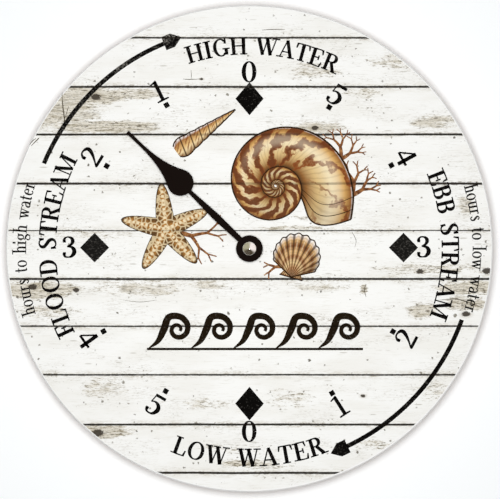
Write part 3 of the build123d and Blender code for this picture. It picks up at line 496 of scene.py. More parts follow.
def write(shape, text, height, stem, hair, place_at, spacing=0.0):
    """Write a line about x = 0 with stem and hairline given as shares of the height."""
    start = -sum(letters[char][0] + spacing for char in text) / 2
    half = stem / 2 + serif_reach
    for char in text:
        advance, strokes, feet = letters[char]

        def spot(x, y, left=start + spacing / 2):
            return place_at((left + x) * height, (y - 0.5) * height)

        for points in strokes:
            pen = [(x, y, hair + (stem - hair) * weight) for x, y, weight in points]
            stroke(shape, pen, 1 if len(pen) == 2 else 5 * len(pen), spot)
        for x, y in feet:
            inner = hair / 2 if y < 0.2 else -hair / 2
            stroke(shape, bar(x - half, x + half, y + inner, hair), 1, spot)
        start += advance + spacing


def turned_at(px, py, turn):
    """Place print drawn about a pixel, turned anticlockwise by degrees."""
    c, s = cos(radians(turn)), sin(radians(turn))
    return lambda x, y: on_print(px + x * c - y * s, py - x * s - y * c)


def on_ring(radius, bearing, inward=False):
    """Place print along a ring: x runs clockwise with tops outward, or the other way with tops inward."""
    side = -1 if inward else 1

    def place_at(x, y):
        angle = radians(bearing) - side * x / radius
        return on_print(*swung(dial_px, dial_py, radius + side * y, angle))

    return place_at


# Dial figures in pixels: figure, centre and turn
figures = [
    ("0", 249.1, 71.8, 0), ("1", 158.8, 91.2, 26.5), ("2", 91.4, 156.7, 58.5), ("3", 69.2, 247.1, 0),
    ("4", 87.8, 339.0, -54.5), ("5", 154.9, 404.4, -30), ("0", 249.2, 431.4, 0), ("1", 339.9, 405.8, 32.5),
    ("2", 405.8, 338.6, 62), ("3", 423.6, 246.8, 0), ("4", 406.0, 156.8, -61.5), ("5", 336.1, 94.3, -30),
]
figure_height = 21.3
# Pens as shares of the height: stem and hairline of figures, legends and small legends
figure_pen = (0.2, 0.06)
legend_pen = (0.2, 0.075)
small_pen = (0.14, 0.06)
# Hour squares in pixels: centre and turn
squares = [
    (166.6, 105.1, 30), (106.7, 166.0, 60), (103.6, 331.3, -60), (165.7, 391.2, -30),
    (332.1, 393.2, 30), (393.0, 331.6, 60), (391.4, 165.3, -60), (329.2, 107.3, -30),
]
square_side = 5.2
# Diamonds at the quarters in pixels: centre, half width and half height
top_diamonds = [(249.5, 98.7, 14.1, 16.6), (249.5, 403.6, 14.3, 16.8)]
side_diamonds = [(94.6, 247.6, 14.6, 14.8), (403.5, 247.6, 14.6, 14.8)]
diamond_tip_w = 0.01
# Legends: text, height, ring radius and bearing in pixels and degrees, spacing, and tops inward or not
legends = [
    ("HIGH WATER", 17.5, 203, 86, 0.05, False), ("FLOOD STREAM", 17.5, 202, 179, 0.05, False),
    ("EBB STREAM", 17.5, 201, 1, 0.05, False), ("LOW WATER", 18.0, 209, 270, 0.06, True),
]
small_legends = [("hours to high water", 180), ("hours to low water", 0)]
small_height = 13.4
small_ring = 230
small_spacing = 0.03
# Arc arrows in pixels and degrees: ends of the line, ring where it starts, how far it draws in, and wear
arrow_spans = [("flood_arrow", 157.5, 112.4, 222.4, 0.3, 0.45), ("ebb_arrow", -18.5, -63.8, 224.0, 3.6, 0.3)]
arrow_w = 4.5
head_len = 18.8
head_w = 14.2
head_tip_w = 0.1


def print_piece(name, shape, material, thick=ink_thick):
    """Finish a flat printed shape as a thin piece on the dial."""
    raise_print(shape, thick)
    new_piece(name, shape, "movement", material)


def dial_marks():
    """Figures, squares, diamonds, arrows and legends."""
    black = ink("black_ink", tone(8, 7, 6), 0.2)
    rubbed = ink("rubbed_ink", tone(24, 23, 21), 0.45, tone(112, 109, 103))
    shape = bmesh.new()
    for figure, px, py, turn in figures:
        write(shape, figure, figure_height, *figure_pen, turned_at(px, py, turn))
    half = square_side / 2
    for px, py, turn in squares:
        stroke(shape, bar(-half, half, 0, square_side), 1, turned_at(px, py, turn))
    print_piece("dial_figures", shape, black)
    kinds = (("tide_diamonds", top_diamonds, black), ("half_tide_diamonds", side_diamonds, rubbed))
    for name, marks, material in kinds:
        shape = bmesh.new()
        for px, py, half_w, half_h in marks:
            stroke(shape, [(0, -half_h, diamond_tip_w), (0, 0, 2 * half_w)], 1, turned_at(px, py, 0))
            stroke(shape, [(0, 0, 2 * half_w), (0, half_h, diamond_tip_w)], 1, turned_at(px, py, 0))
        print_piece(name, shape, material)
    for name, start, end, ring, drawn_in, rub in arrow_spans:
        shape = bmesh.new()
        middle = on_ring(ring, start)
        run = radians(start - end) * ring
        stroke(shape, [(run * k / 6, -drawn_in * k / 6, arrow_w) for k in range(7)], 24, middle)
        neck = run - 1
        waist = neck + head_len * 0.5
        stroke(shape, bar(neck, waist, -drawn_in, head_w), 4, middle)
        stroke(shape, [(waist, -drawn_in, head_w), (neck + head_len, -drawn_in, head_tip_w)], 4, middle)
        print_piece(name, shape, ink(name + "_ink", tone(8, 7, 6), rub))
    shape = bmesh.new()
    for text, height, radius, bearing, spacing, inward in legends:
        write(shape, text, height, *legend_pen, on_ring(radius, bearing, inward), spacing)
    print_piece("water_legends", shape, black)
    shape = bmesh.new()
    for text, bearing in small_legends:
        write(shape, text, small_height, *small_pen, on_ring(small_ring, bearing), small_spacing)
    print_piece("hour_legends", shape, rubbed)


def dial_cracks():
    """Cracks and scratches in the printed planks."""
    shape = bmesh.new()
    for points in cracks:
        stroke(shape, points, 12, on_print)
    print_piece("plank_cracks", shape, ink("crack_ink", tone(84, 75, 58), 0.5, tone(190, 184, 170)))


# Running-wave scroll in pixels: first wave's foot, pitch, line's height, waves and the line's width; the
# line's start before the first foot, how far short of the last wave it ends, and the pen up to the coil
scroll_left = 152.0
scroll_pitch = 42.4
scroll_low = 349.0
scroll_waves = 5
scroll_line_w = 2.4
scroll_before = 5
scroll_short = 1
scroll_pen = [(-3.0, -1.0, 1.0), (6.0, -8.0, 5.0), (12.0, -20.0, 7.4)]
# The coil: its middle from the wave's foot, first bearing, turn between points, and pen; how both shrink
coil_x = 25.5
coil_rise = 19.5
coil_r = 15.0
coil_start = 125
coil_turn = 47
coil_points = 12
coil_w = 6.8
coil_r_shrink = 0.865
coil_w_shrink = 0.93


def wave_scroll():
    """A running wave: each crest rises from the line and curls into a coil."""
    shape = bmesh.new()
    for wave in range(scroll_waves):
        left = scroll_left + wave * scroll_pitch
        points = [(left + x, scroll_low + y, width) for x, y, width in scroll_pen]
        for k in range(coil_points):
            angle = radians(coil_start - coil_turn * k)
            place = swung(left + coil_x, scroll_low - coil_rise, coil_r * coil_r_shrink ** k, angle)
            points.append((*place, coil_w * coil_w_shrink ** k))
        stroke(shape, points, 120, on_print)
    line_end = scroll_left + scroll_waves * scroll_pitch - scroll_short
    stroke(shape, bar(scroll_left - scroll_before, line_end, scroll_low, scroll_line_w), 1, on_print)
    print_piece("wave_scroll", shape, ink("brown_ink", tone(30, 22, 11), 0.2))


def paint(name):
    """A material for a painted shell, its place in pixels, and the two ways over it."""
    material, place = finish(name, tone(150, 110, 60), 0.62, specular=0.08)
    uv = place.node("ShaderNodeUVMap", {}, uv_map="brush")
    return material, *print_spot(place), uv.part(0), uv.part(1)


def dress_shell(material, down, spot, color, seam=(0.7, -0.3)):
    """Give a painted shell its colour, darker along the gaps between planks."""
    return dress(material, layered(color, (gap_reach(spot, down).step(*seam) * 0.4, (40, 28, 14))))


def painted(name, material, layers, along_steps, across_steps, point_at):
    """A patch of paint: point_at turns its two directions, each from 0 to 1, into a pixel."""
    shape = bmesh.new()
    shape.loops.layers.uv.new("brush")
    grid = bmesh.ops.create_grid(
        shape, x_segments=along_steps, y_segments=across_steps, size=0.5, calc_uvs=True)
    for vert in grid["verts"]:
        vert.co = on_print(*point_at(vert.co.x + 0.5, vert.co.y + 0.5))
    bmesh.ops.remove_doubles(shape, verts=shape.verts[:], dist=0.002 * mm)
    print_piece(name, shape, material, layers * picture_thick)


def outlined(name, *lines):
    """Pen strokes over the paint; a line has its last index, its steps and the point at an index."""
    shape = bmesh.new()
    for last, steps, point_at in lines:
        stroke(shape, [point_at(k) for k in range(last + 1)], steps, on_print)
    print_piece(name, shape, shell_line, outline_layers * picture_thick)


# Nautilus: centre of its coil and mouth in pixels and degrees, growth in a turn and turns drawn
nautilus_x = 276.0
nautilus_y = 186.0
nautilus_r = 82.0
nautilus_growth = 3.0
nautilus_turns = 3.4
nautilus_mouth = -24.0
# Its lip: how far it swings on, evenly and to one side, in radians, and the turns over which that fades
lip_swing = 0.34
lip_lean = 0.06
lip_fade = 0.25
# Lines along the lip, as turns back from the mouth and widths; the edge's points in a turn, width and taper
lip_lines = [(0.0, 1.5), (0.02, 0.8), (0.045, 0.6)]
edge_points = 24
edge_w = 1.9
edge_taper = 0.982


def on_nautilus(turn, across):
    """A place on the shell: turns back from the mouth, and 0 at the inner whorl to 1 at the edge."""
    edge = nautilus_r * nautilus_growth ** -turn
    reach = edge * (1 + across * (nautilus_growth - 1)) / nautilus_growth
    lip = (lip_swing * sin(pi * across) + lip_lean * sin(tau * across)) * max(0.0, 1 - turn / lip_fade) ** 2
    return swung(nautilus_x, nautilus_y, reach, radians(nautilus_mouth) + tau * turn - lip)


def nautilus_paint():
    """Cream shell with flame stripes, growth lines and a shaded round."""
    material, down, spot, u, v = paint("nautilus_paint")
    turn = u * nautilus_turns
    wobble = spot.stretch(0.11, 0.11, 0.0, 1.1).noise(1.0, 3.0) - 0.5
    round_tone = v.ramp(
        (0.0, 70, 44, 20), (0.1, 148, 100, 50), (0.34, 222, 190, 132), (0.62, 244, 224, 180),
        (0.84, 220, 172, 100), (0.96, 150, 96, 44), (1.0, 74, 46, 20))
    swing = (turn * 12.0 + v * v * 1.3 + wobble * 1.3) * tau
    flame = swing.math("SINE") + (v * 0.7 + turn.step(0.06, 0.34) * 1.15 - 1.1)
    growth = ((turn * 62.0 + v * v * 1.6 + wobble * 0.8) * tau).math("SINE").step(0.2, 1.0)
    glaze = v.step(0.45, 0.66) * v.step(0.9, 0.7) * turn.step(0.55, 0.3)
    low = (down - nautilus_y + 8.0).step(0.0, 46.0) * 0.35 + turn.step(0.9, 1.5) * 0.35
    return dress_shell(material, down, spot, layered(
        round_tone,
        (flame.step(-0.05, 0.35) * (spot.noise(0.5, 3.0) * 0.7 + 0.55), (138, 70, 24)),
        (flame.step(0.35, 0.95) * 0.7, (92, 44, 16)),
        (growth * 0.2, (96, 62, 30)),
        (low, (84, 52, 26)),
        (glaze * 0.28, (255, 243, 214))))


def nautilus():
    """The painted nautilus and its dark outline."""
    painted("nautilus", nautilus_paint(), 2, 240, 12, lambda u, v: on_nautilus(u * nautilus_turns, v))
    last = int(edge_points * nautilus_turns) - 1
    edge = (last, 300, lambda k: (*on_nautilus(k / edge_points, 1.0), edge_w * edge_taper ** k))
    lips = [(10, 30, lambda k, turn=turn, width=width: (*on_nautilus(turn, k / 10), width))
            for turn, width in lip_lines]
    outlined("nautilus_outline", edge, *lips)


# Sea star: centre, reach, half width of an arm and turn in pixels and degrees; arms, and the turn between
star_x = 166.0
star_y = 229.0
star_r = 46.0
star_arm = 9.6
star_turn = 24.0
star_arms = 5
arm_turn = 360 / star_arms


def star_edge(turn):
    """The sea star's outline: how far it reaches at a turn from its first arm."""
    aside = sin(abs((turn + arm_turn / 2) % arm_turn - arm_turn / 2) * pi / 180)
    return 1 / hypot(aside / star_arm, 1 / star_r)


def on_star(turn, out):
    """A place on the sea star: degrees from its first arm, and 0 in the middle to 1 at the edge."""
    return swung(star_x, star_y, out * star_edge(turn), radians(star_turn + turn))


def star_paint():
    """Brown scales between pale lines, with a row of pale knobs down each arm."""
    material, down, spot, u, v = paint("star_paint")
    arm = abs((u * star_arms + 0.5).math("FRACT") - 0.5) * radians(arm_turn)
    ends = {0: spot, 1: (star_x, star_y, 0.0)}
    out = spot.node("ShaderNodeVectorMath", ends, output="Value", operation="DISTANCE")
    aside = arm.math("SINE") * out
    net = spot.stretch(0.2, 0.2, 0.0, 2.7).cells(1.0, feature="DISTANCE_TO_EDGE").step(0.16, 0.06)
    knob = (out * 0.23).math("FRACT")
    return dress_shell(material, down, spot, layered(
        (aside / star_arm).step(0.0, 0.8).over(tone(190, 132, 62), tone(92, 64, 32)),
        (spot.noise(0.3, 4.0).step(0.4, 0.66) * 0.5, (66, 46, 24)),
        (net * 0.85, (226, 205, 164)),
        (aside.step(1.9, 1.0) * knob.step(0.25, 0.4) * knob.step(0.95, 0.8), (240, 222, 184)),
        (v.step(0.9, 0.99), (58, 40, 20))))


def sea_star():
    """The painted sea star."""
    painted("sea_star", star_paint(), 2, 200, 7, lambda u, v: on_star(u * 360, v))


# Auger shell: tip and base in pixels, half width, whorls and how they crowd towards the tip
auger_tip = (236.0, 109.0)
auger_base = (176.0, 152.0)
auger_half = 10.5
auger_whorls = 8.5
whorl_power = 0.72
# How it widens from its tip, swells at a whorl and rounds off towards an end past its base; its outline
auger_widening = 0.92
whorl_swell = 0.09
auger_end = 1.02
auger_rounding = 0.11
auger_line_w = 1.3


def auger_whorl(u):
    """Whorls passed on the way from the tip."""
    return auger_whorls * u ** whorl_power


def on_auger(u, v):
    """A place on the auger: 0 at the tip to 1 at the base, and 0 to 1 across."""
    run = (auger_base[0] - auger_tip[0], auger_base[1] - auger_tip[1])
    length = hypot(*run)
    bulge = 1 + whorl_swell * abs(sin(pi * auger_whorl(u)))
    half = auger_half * u ** auger_widening * bulge * min(1.0, (auger_end - u) / auger_rounding) ** 0.5
    aside = (2 * v - 1) * half
    return (auger_tip[0] + run[0] * u - run[1] / length * aside,
            auger_tip[1] + run[1] * u + run[0] / length * aside)


def auger_paint():
    """Slanting whorls with brown flecks, shaded round."""
    material, down, spot, u, v = paint("auger_paint")
    whorl = u.math("POWER", whorl_power) * auger_whorls + v * 0.42
    step_in = whorl.math("FRACT")
    fleck = ((v * 3.2 + whorl * 2.4) * tau).math("SINE") + (spot.noise(0.45, 3.0) - 0.5) * 2.4
    band = step_in.step(0.12, 0.3) * step_in.step(0.8, 0.6)
    return dress_shell(material, down, spot, layered(
        v.ramp((0.0, 112, 74, 36), (0.3, 240, 214, 164), (0.5, 226, 184, 120), (0.8, 166, 112, 56),
               (1.0, 72, 46, 22)),
        (fleck.step(0.1, 0.6) * band * 0.8, (134, 72, 28)),
        (step_in.step(0.88, 0.98) + step_in.step(0.1, 0.0), (74, 46, 22))))


def auger():
    """The painted auger shell with its outline."""
    painted("auger_shell", auger_paint(), 2, 110, 10, lambda u, v: on_auger(0.01 + 0.985 * u, v))
    sides = [(40, 90, lambda k, side=side: (*on_auger(0.01 + 0.98 * k / 40, side), auger_line_w))
             for side in (0.0, 1.0)]
    outlined("auger_outline", *sides)


# Scallop: hinge in pixels, heading in degrees, reach, half of its fan in degrees and ribs
scallop_x = 291.0
scallop_y = 277.0
scallop_turn = 74.0
scallop_r = 44.0
scallop_fan = 62.0
scallop_ribs = 11
# Its reach: the share that stays and the share that falls off sideways, how fast, and how the ribs wave it
reach_kept = 0.42
reach_falling = 0.58
reach_fall = 1.25
rib_wave = 0.018
# Its hinge plate in pixels: half width, how much narrower at its far side, length, and start behind the hinge
ear_half = 12
ear_taper = 4
ear_long = 6.5
ear_behind = 0.5
# Widths of its outline: edge and sides, and hinge plate
scallop_line_w = 1.2
ear_line_w = 1.1


def on_scallop(u, v):
    """A place on the scallop: 0 to 1 across the fan, and 0 at the hinge to 1 at the edge."""
    lean = (2 * u - 1) * scallop_fan
    wave = 1 + rib_wave * v * cos(tau * scallop_ribs * u)
    reach = scallop_r * v * (reach_kept + reach_falling * cos(radians(lean * reach_fall))) * wave
    return swung(scallop_x, scallop_y, reach, radians(scallop_turn + lean))


def on_ear(u, v):
    """A place on the hinge plate of the scallop."""
    c, s = cos(radians(scallop_turn)), sin(radians(scallop_turn))
    aside = (2 * u - 1) * (ear_half - ear_taper * v)
    reach = ear_long * v - ear_behind
    return scallop_x + reach * c - aside * s, scallop_y - reach * s - aside * c


def scallop_paint():
    """Ribs and growth bands that fan out from the hinge."""
    material, down, spot, u, v = paint("scallop_paint")
    wobble = spot.noise(0.2, 3.0) - 0.5
    bands = (v + wobble * 0.08).ramp(
        (0.0, 88, 54, 26), (0.22, 164, 106, 54), (0.36, 226, 190, 134), (0.47, 150, 88, 42),
        (0.58, 222, 176, 116), (0.74, 132, 76, 36), (0.86, 214, 168, 108), (1.0, 104, 64, 32))
    rib = (u * tau * scallop_ribs).math("COSINE")
    scales = (v * 90.0 + wobble * 4.0).math("SINE").step(0.3, 1.0)
    return dress_shell(material, down, spot, layered(
        bands,
        (rib.step(-0.1, -0.95) * 0.8, (62, 38, 18)),
        (rib.step(0.5, 1.0) * 0.4, (250, 228, 186)),
        (abs(u - 0.5).step(0.3, 0.5) * 0.4 + u.step(0.45, 0.0) * 0.25, (60, 36, 18)),
        (scales * 0.25, (70, 44, 22))), seam=(0.5, -0.2))


def scallop():
    """The painted scallop shell with its outline."""
    material = scallop_paint()
    painted("scallop_hinge", material, 1, 8, 2, on_ear)
    painted("scallop_shell", material, 2, 110, 10, on_scallop)
    edge = (66, 200, lambda k: (*on_scallop(k / 66, 1.0), scallop_line_w))
    sides = [(6, 12, lambda k, side=side: (*on_scallop(side, k / 6), scallop_line_w)) for side in (0.0, 1.0)]
    outlined("scallop_outline", edge, *sides, (4, 8, lambda k: (*on_ear(k / 4, 0.0), ear_line_w)))


# Coral sprigs: root in pixels, heading in degrees, first length and width, and forks
sprigs = [
    (338, 205, 26, 17, 7.5, 4), (334, 172, 66, 15, 6.5, 4), (172, 231, -10, 20, 5.5, 3),
    (286, 267, 172, 10.5, 4.0, 2),
]
# A branch: the greatest bend in degrees, the share of width lost at each third, and the lift between
# crossing branches in millimetres
branch_bend = 14
branch_taper = 0.08
branch_lift = 0.002
# A fork: its two arms with the share of length each keeps, their spread in degrees and its change, width kept
fork_arms = [(1, 0.8), (0, 0.7)]
fork_spread = 28
fork_change = 8
fork_width = 0.86


def grow(shape, px, py, heading, length, width, forks, side=1):
    """A coral branch that bends and forks until its forks run out."""
    bend = branch_bend * sin(px * 0.7 + py)
    points = [(px, py, width)]
    x, y = px, py
    for k in (1, 2, 3):
        x, y = swung(x, y, length / 3, radians(heading + bend * k / 3))
        points.append((x, y, width * (1 - branch_taper * k)))
    lift = (2 * forks + side) * branch_lift * mm
    stroke(shape, points, 9, lambda x, y: on_print(x, y, lift))
    tip_x, tip_y, tip_w = points[-1]
    if forks == 0:
        return
    for arm, share in fork_arms:
        way = heading + bend + (2 * arm - 1) * (fork_spread + fork_change * sin(px + arm * py))
        grow(shape, tip_x, tip_y, way, length * share, tip_w * fork_width, forks - 1, arm)


def coral():
    """Painted coral sprigs behind the shells."""
    material, place = finish("coral_paint", tone(122, 78, 46), 0.62, specular=0.08)
    spot = print_spot(place)[1]
    dress(material, layered(
        spot.noise(0.25, 4.0).ramp((0.3, 78, 44, 22), (0.5, 128, 80, 44), (0.7, 176, 124, 74)),
        (specks(spot, 3.2, 0.6, 0.55, 3.3) * 0.75, (232, 208, 164))))
    shape = bmesh.new()
    for sprig in sprigs:
        grow(shape, *sprig)
    print_piece("coral_sprigs", shape, material, picture_thick)


def moulded(name, color, roughness, grain=0.12 * mm, depth=0.006 * mm):
    """Injection-moulded plastic or rubber with a fine spark texture."""
    material, place = finish(name, color, roughness, specular=0.35)
    fine = place.noise(1 / grain, 2.0)
    dark = tuple(c * 0.8 for c in color[:3]) + (1.0,)
    mottled = place.noise(90.0, 3.0).step(0.35, 0.7).over(color, dark)
    return dress(material, mottled, fine * 0.2 + (roughness - 0.1), bump=(fine, depth))


# Turning arrow sunk round the setting knob: radius of its ring, and half its turn in radians
knob_arrow_r = 8.2 * mm
knob_arrow_turn = 1.1


def case_plastic():
    """Black case moulding with a smooth turning arrow sunk round the setting knob."""
    material, place = finish("black_case_plastic", tone(27, 27, 28), 0.5, specular=0.35)
    low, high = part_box("setting_knob")
    off = place.node("ShaderNodeVectorMath", {0: place, 1: (low + high) / 2}, operation="SUBTRACT")
    x, z = off.part(0), off.part(2)
    away = abs((x * x + z * z).math("SQRT") - knob_arrow_r) / mm
    past = abs(z.math("ARCTAN2", x)) - knob_arrow_turn
    line = away.step(0.55, 0.35) * past.step(0.02, -0.02)
    head = (away + (past + 0.05) * 7.0).step(1.5, 1.3) * past.step(-0.08, -0.04)
    outside = place.part(1).step(cover_back_y - 0.3 * mm, cover_back_y - 0.1 * mm)
    mark = line.math("MAXIMUM", head) * outside
    grain = place.noise(1 / (0.12 * mm), 2.0)
    return dress(material, mark.over(tone(27, 27, 28), tone(66, 66, 68)), mark * -0.25 + grain * 0.2 + 0.4,
                 bump=(grain * 0.03 - mark, 0.15 * mm))


# Screen pattern pressed into the bare back of the board
screen_pitch = 1.3 * mm
# Turns of the coil's wire
wire_pitch = 0.14 * mm


def painted_board():
    """Hardboard: white paint in front and round the edge, bare brown fibre with a screen behind."""
    material, place = finish("painted_hardboard", tone(245, 245, 242), 0.42, specular=0.3)
    fibre = place.stretch(1.0, 0.2, 1.0).noise(1100.0, 5.0, 0.7)
    flock = place.noise(300.0, 5.0, 0.7)
    rows, columns = ((place.part(axis) * (tau / screen_pitch)).math("SINE") for axis in (0, 2))
    weave = rows * columns
    brown = layered(
        (fibre * 0.7 + flock * 0.3).ramp((0.34, 98, 68, 42), (0.5, 126, 90, 58), (0.66, 154, 116, 78)),
        (weave.step(0.2, 0.9) * 0.45, (66, 42, 24)))
    back = place.part(1).step(dial_back_y - 0.25 * mm, dial_back_y - 0.05 * mm)
    white = (fibre.step(0.5, 0.75) * 0.5).over(tone(247, 247, 245), tone(232, 230, 224))
    return dress(material, back.over(white, brown), back * 0.35 + 0.42,
                 bump=(fibre * 0.4 + weave * back * 0.6, 0.06 * mm))


def turned(name, color, roughness, pitch, dull):
    """Lathe-turned metal: fine rings about the hand's axis, a little tarnished."""
    material, place = finish(name, color, roughness, 1.0)
    x, z = place.part(0), place.part(2)
    out = (x * x + z * z).math("SQRT")
    rings = out.node("ShaderNodeCombineXYZ", {0: out + place.part(1) * 1.3}).noise(1 / pitch, 3.0, 0.6)
    stain = place.noise(240.0, 4.0, 0.6).step(0.4, 0.7)
    return dress(material, (stain * 0.5).over(color, dull), stain * 0.15 + roughness,
                 bump=(rings, 0.012 * mm))


def rolled(name, color, roughness, dull):
    """Sheet metal with rolling lines and light stains."""
    material, place = finish(name, color, roughness, 1.0)
    lines = place.stretch(1.0, 1.0, 0.04).noise(9000.0, 2.0)
    stain = place.noise(300.0, 4.0, 0.6).step(0.4, 0.72)
    return dress(material, (stain * 0.55).over(color, dull), lines * 0.25 + roughness - 0.1,
                 bump=(lines, 0.004 * mm))


def wound_wire():
    """Enamelled copper wire laid in turns along the coil, with painted highlight and shade along the turns.
    """
    material, place = finish("copper_wire", tone(160, 82, 40), 0.3, 0.9)
    turns = (place.part(2) * (tau / wire_pitch) + place.noise(400.0, 2.0) * 3.0).math("SINE")
    # Lighter along each turn's crest and darker in the grooves between turns: painted highlight and shade,
    # with a random tone mixed in.
    shade = turns.step(-0.6, 0.7) * 0.7 + place.noise(700.0, 3.0) * 0.3
    return dress(material, shade.over(tone(92, 40, 18), tone(196, 112, 58)), bump=(turns, 0.03 * mm))


def solder_mask():
    """Green mask over copper tracks, with tinned pads."""
    material, place = finish("green_circuit_laminate", tone(22, 84, 46), 0.3)
    grid = place.stretch(1.0, 1.0, 0.55)
    track = grid.cells(420.0, feature="DISTANCE_TO_EDGE").step(0.1, 0.07)
    pad = grid.cells(420.0).step(0.16, 0.13)
    color = layered(tone(20, 78, 42), (track, (44, 122, 66)), (pad, (206, 204, 196)))
    return dress(material, color, metallic=pad * 0.9, bump=(track * 0.6 + pad, 0.03 * mm))


def lacquer():
    """Black lacquered sheet metal, nearly flat in sheen."""
    material, place = finish("black_hand_lacquer", tone(18, 11, 8), 0.7, specular=0.03)
    peel = place.noise(2200.0, 3.0)
    grey = place.cells(700.0).step(0.12, 0.05) * 0.08 + peel.step(0.4, 0.7) * 0.06
    return dress(material, grey.over(tone(17, 9, 6), tone(60, 50, 44)), peel * 0.2 + 0.6,
                 bump=(peel, 0.004 * mm))


def sintered():
    """Dark sintered magnet with fine bright grains."""
    material, place = finish("sintered_magnet", tone(56, 56, 60), 0.5, 0.7)
    grains = place.cells(5200.0)
    color = grains.step(0.5, 0.1).over(tone(48, 48, 52), tone(98, 98, 104))
    return dress(material, color, bump=(grains, 0.01 * mm))


# Pole marks on the battery's sleeve: millimetres from its plus and its minus end
sleeve_plus = 7.0
sleeve_minus = 6.4


def battery_wrap():
    """Printed sleeve with bare steel ends: pale grey, a blue band, and plain pole marks."""
    material, place = finish("battery_wrap", tone(196, 200, 204), 0.3, 0.3)
    low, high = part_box("battery")
    x = place.part(0)
    bare = x.step(low.x + 0.8 * mm, low.x + 0.6 * mm) + x.step(high.x - 2.3 * mm, high.x - 2.1 * mm)
    share = (x - low.x) / (high.x - low.x)
    band = share.step(0.06, 0.065) * share.step(0.34, 0.335)
    line = share.step(0.36, 0.363) * share.step(0.378, 0.375)
    z = abs(place.part(2) - (low.z + high.z) / 2) / mm
    plus = abs(x - (high.x - sleeve_plus * mm)) / mm
    minus = abs(x - (low.x + sleeve_minus * mm)) / mm
    behind = place.part(1).step(low.y + 8.0 * mm, low.y + 8.4 * mm)

    def pole_bar(thin, long):
        return thin.step(0.46, 0.4) * long.step(1.7, 1.64)

    scuff = place.stretch(0.2, 1.0, 1.0).noise(900.0, 4.0, 0.7)
    color = layered(
        tone(204, 208, 211),
        (band.math("MAXIMUM", line), (28, 52, 104)),
        (pole_bar(plus, z).math("MAXIMUM", pole_bar(z, plus)) * behind, (28, 52, 104)),
        (pole_bar(minus, z) * behind, (236, 238, 240)),
        (bare, (198, 198, 196)),
        (scuff.step(0.6, 0.8) * 0.25, (120, 122, 124)))
    return dress(material, color, scuff * 0.2 + 0.22, bare * 0.75 + 0.2)


finishes = {
    "printed_film": planks(),
    "hardboard": painted_board(),
    "gasket_rubber": moulded("gasket_rubber", tone(30, 30, 31), 0.8, 0.2 * mm, 0.02 * mm),
    "brass": turned("turned_brass", tone(202, 166, 96), 0.26, 0.16 * mm, tone(150, 116, 62)),
    "cap_silver": turned("spun_silver", tone(250, 248, 244), 0.17, 0.2 * mm, tone(228, 224, 214)),
    "case_plastic": case_plastic(),
    "gear_plate_plastic": moulded("natural_acetal_plate", tone(226, 223, 212), 0.5),
    "wheel_plastic": moulded("natural_acetal_wheel", tone(234, 230, 216), 0.4),
    "knob_plastic": moulded("white_knob_plastic", tone(234, 233, 228), 0.4),
    "bobbin_plastic": moulded("black_bobbin_plastic", tone(22, 22, 22), 0.35),
    "magnet": sintered(),
    "spring_steel": rolled("nickel_plated_steel", tone(206, 205, 200), 0.3, tone(168, 164, 154)),
    "motor_iron": rolled("motor_iron", tone(172, 174, 176), 0.38, tone(128, 126, 122)),
    "crystal_can": rolled("crystal_can", tone(208, 208, 210), 0.25, tone(176, 176, 174)),
    "copper_wire": wound_wire(),
    "circuit_laminate": solder_mask(),
    "chip_resin": moulded("chip_resin", tone(24, 24, 25), 0.6, 0.08 * mm, 0.01 * mm),
    "battery_sleeve": battery_wrap(),
    "hand_black": lacquer(),
}
for entry in frame["record"]["subparts"]:
    node_mesh = nodes[entry["node"]].data
    node_mesh.materials.clear()
    node_mesh.materials.append(finishes[entry["material_slot"]])


def wrapped(shape, around, profile_at):
    """A closed turned form: profile_at gives the ring of places at each turn from 0 to 1."""
    rings = len(profile_at(0.0)) - 1
    grid = bmesh.ops.create_grid(shape, x_segments=around, y_segments=rings, size=0.5)
    for vert in grid["verts"]:
        vert.co = profile_at((vert.co.x + 0.5) % 1.0)[round((vert.co.y + 0.5) * rings)]
    bmesh.ops.remove_doubles(shape, verts=shape.verts[:], dist=0.001 * mm)
    bmesh.ops.recalc_face_normals(shape, faces=shape.faces[:])


def on_axis(radius, depth, turn):
    """A place round the hand's axis: radius and depth in millimetres, and turn from 0 to 1."""
    return Vector((radius * cos(tau * turn), -depth, radius * sin(tau * turn))) * mm


# Nut in millimetres: its turned crown past the flats and the fall beyond it, bore and chamfer of the thread
nut_crown = 0.1
nut_slope = 0.6
nut_bore_r = 4.1
nut_chamfer = 0.4


def hex_nut():
    """The clamping nut, with its corners turned off and its thread chamfered."""
    low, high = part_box("hex_nut")
    half = min(high.x - low.x, high.z - low.z) / 2 / mm
    back, front = -high.y / mm, -low.y / mm
    flat_turn = 0.0 if high.z > high.x else 0.5
    crown = half + nut_crown

    def ring(turn):
        aside = ((turn * 6 + flat_turn + 0.5) % 1.0 - 0.5) / 6 * tau
        side = half / cos(aside)
        fall = max(0.0, side - crown) * nut_slope
        top = min(side, crown)
        profile = [(nut_bore_r, back), (top, back), (side, back + fall), (side, front - fall), (top, front),
                   (nut_bore_r + nut_chamfer, front), (nut_bore_r, front - nut_chamfer), (nut_bore_r, back)]
        return [on_axis(r, depth, turn) for r, depth in profile]

    shape = bmesh.new()
    wrapped(shape, 96, ring)
    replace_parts(new_piece("chamfered_nut", shape, "movement", finishes["brass"]), "hex_nut")


# Bushing in millimetres: thread with its lead and the turns cut off behind it, bore, flange and plain neck
thread_pitch = 0.75
thread_r = 4.0
thread_root_r = 3.56
thread_lead = 0.4
thread_lead_r = 3.51
spare_turns = 1.4
bushing_bore_r = 2.56
bushing_flange_r = 5.5
bushing_flange_thick = 0.8
neck_depth = 16.2
neck_long = 1.4


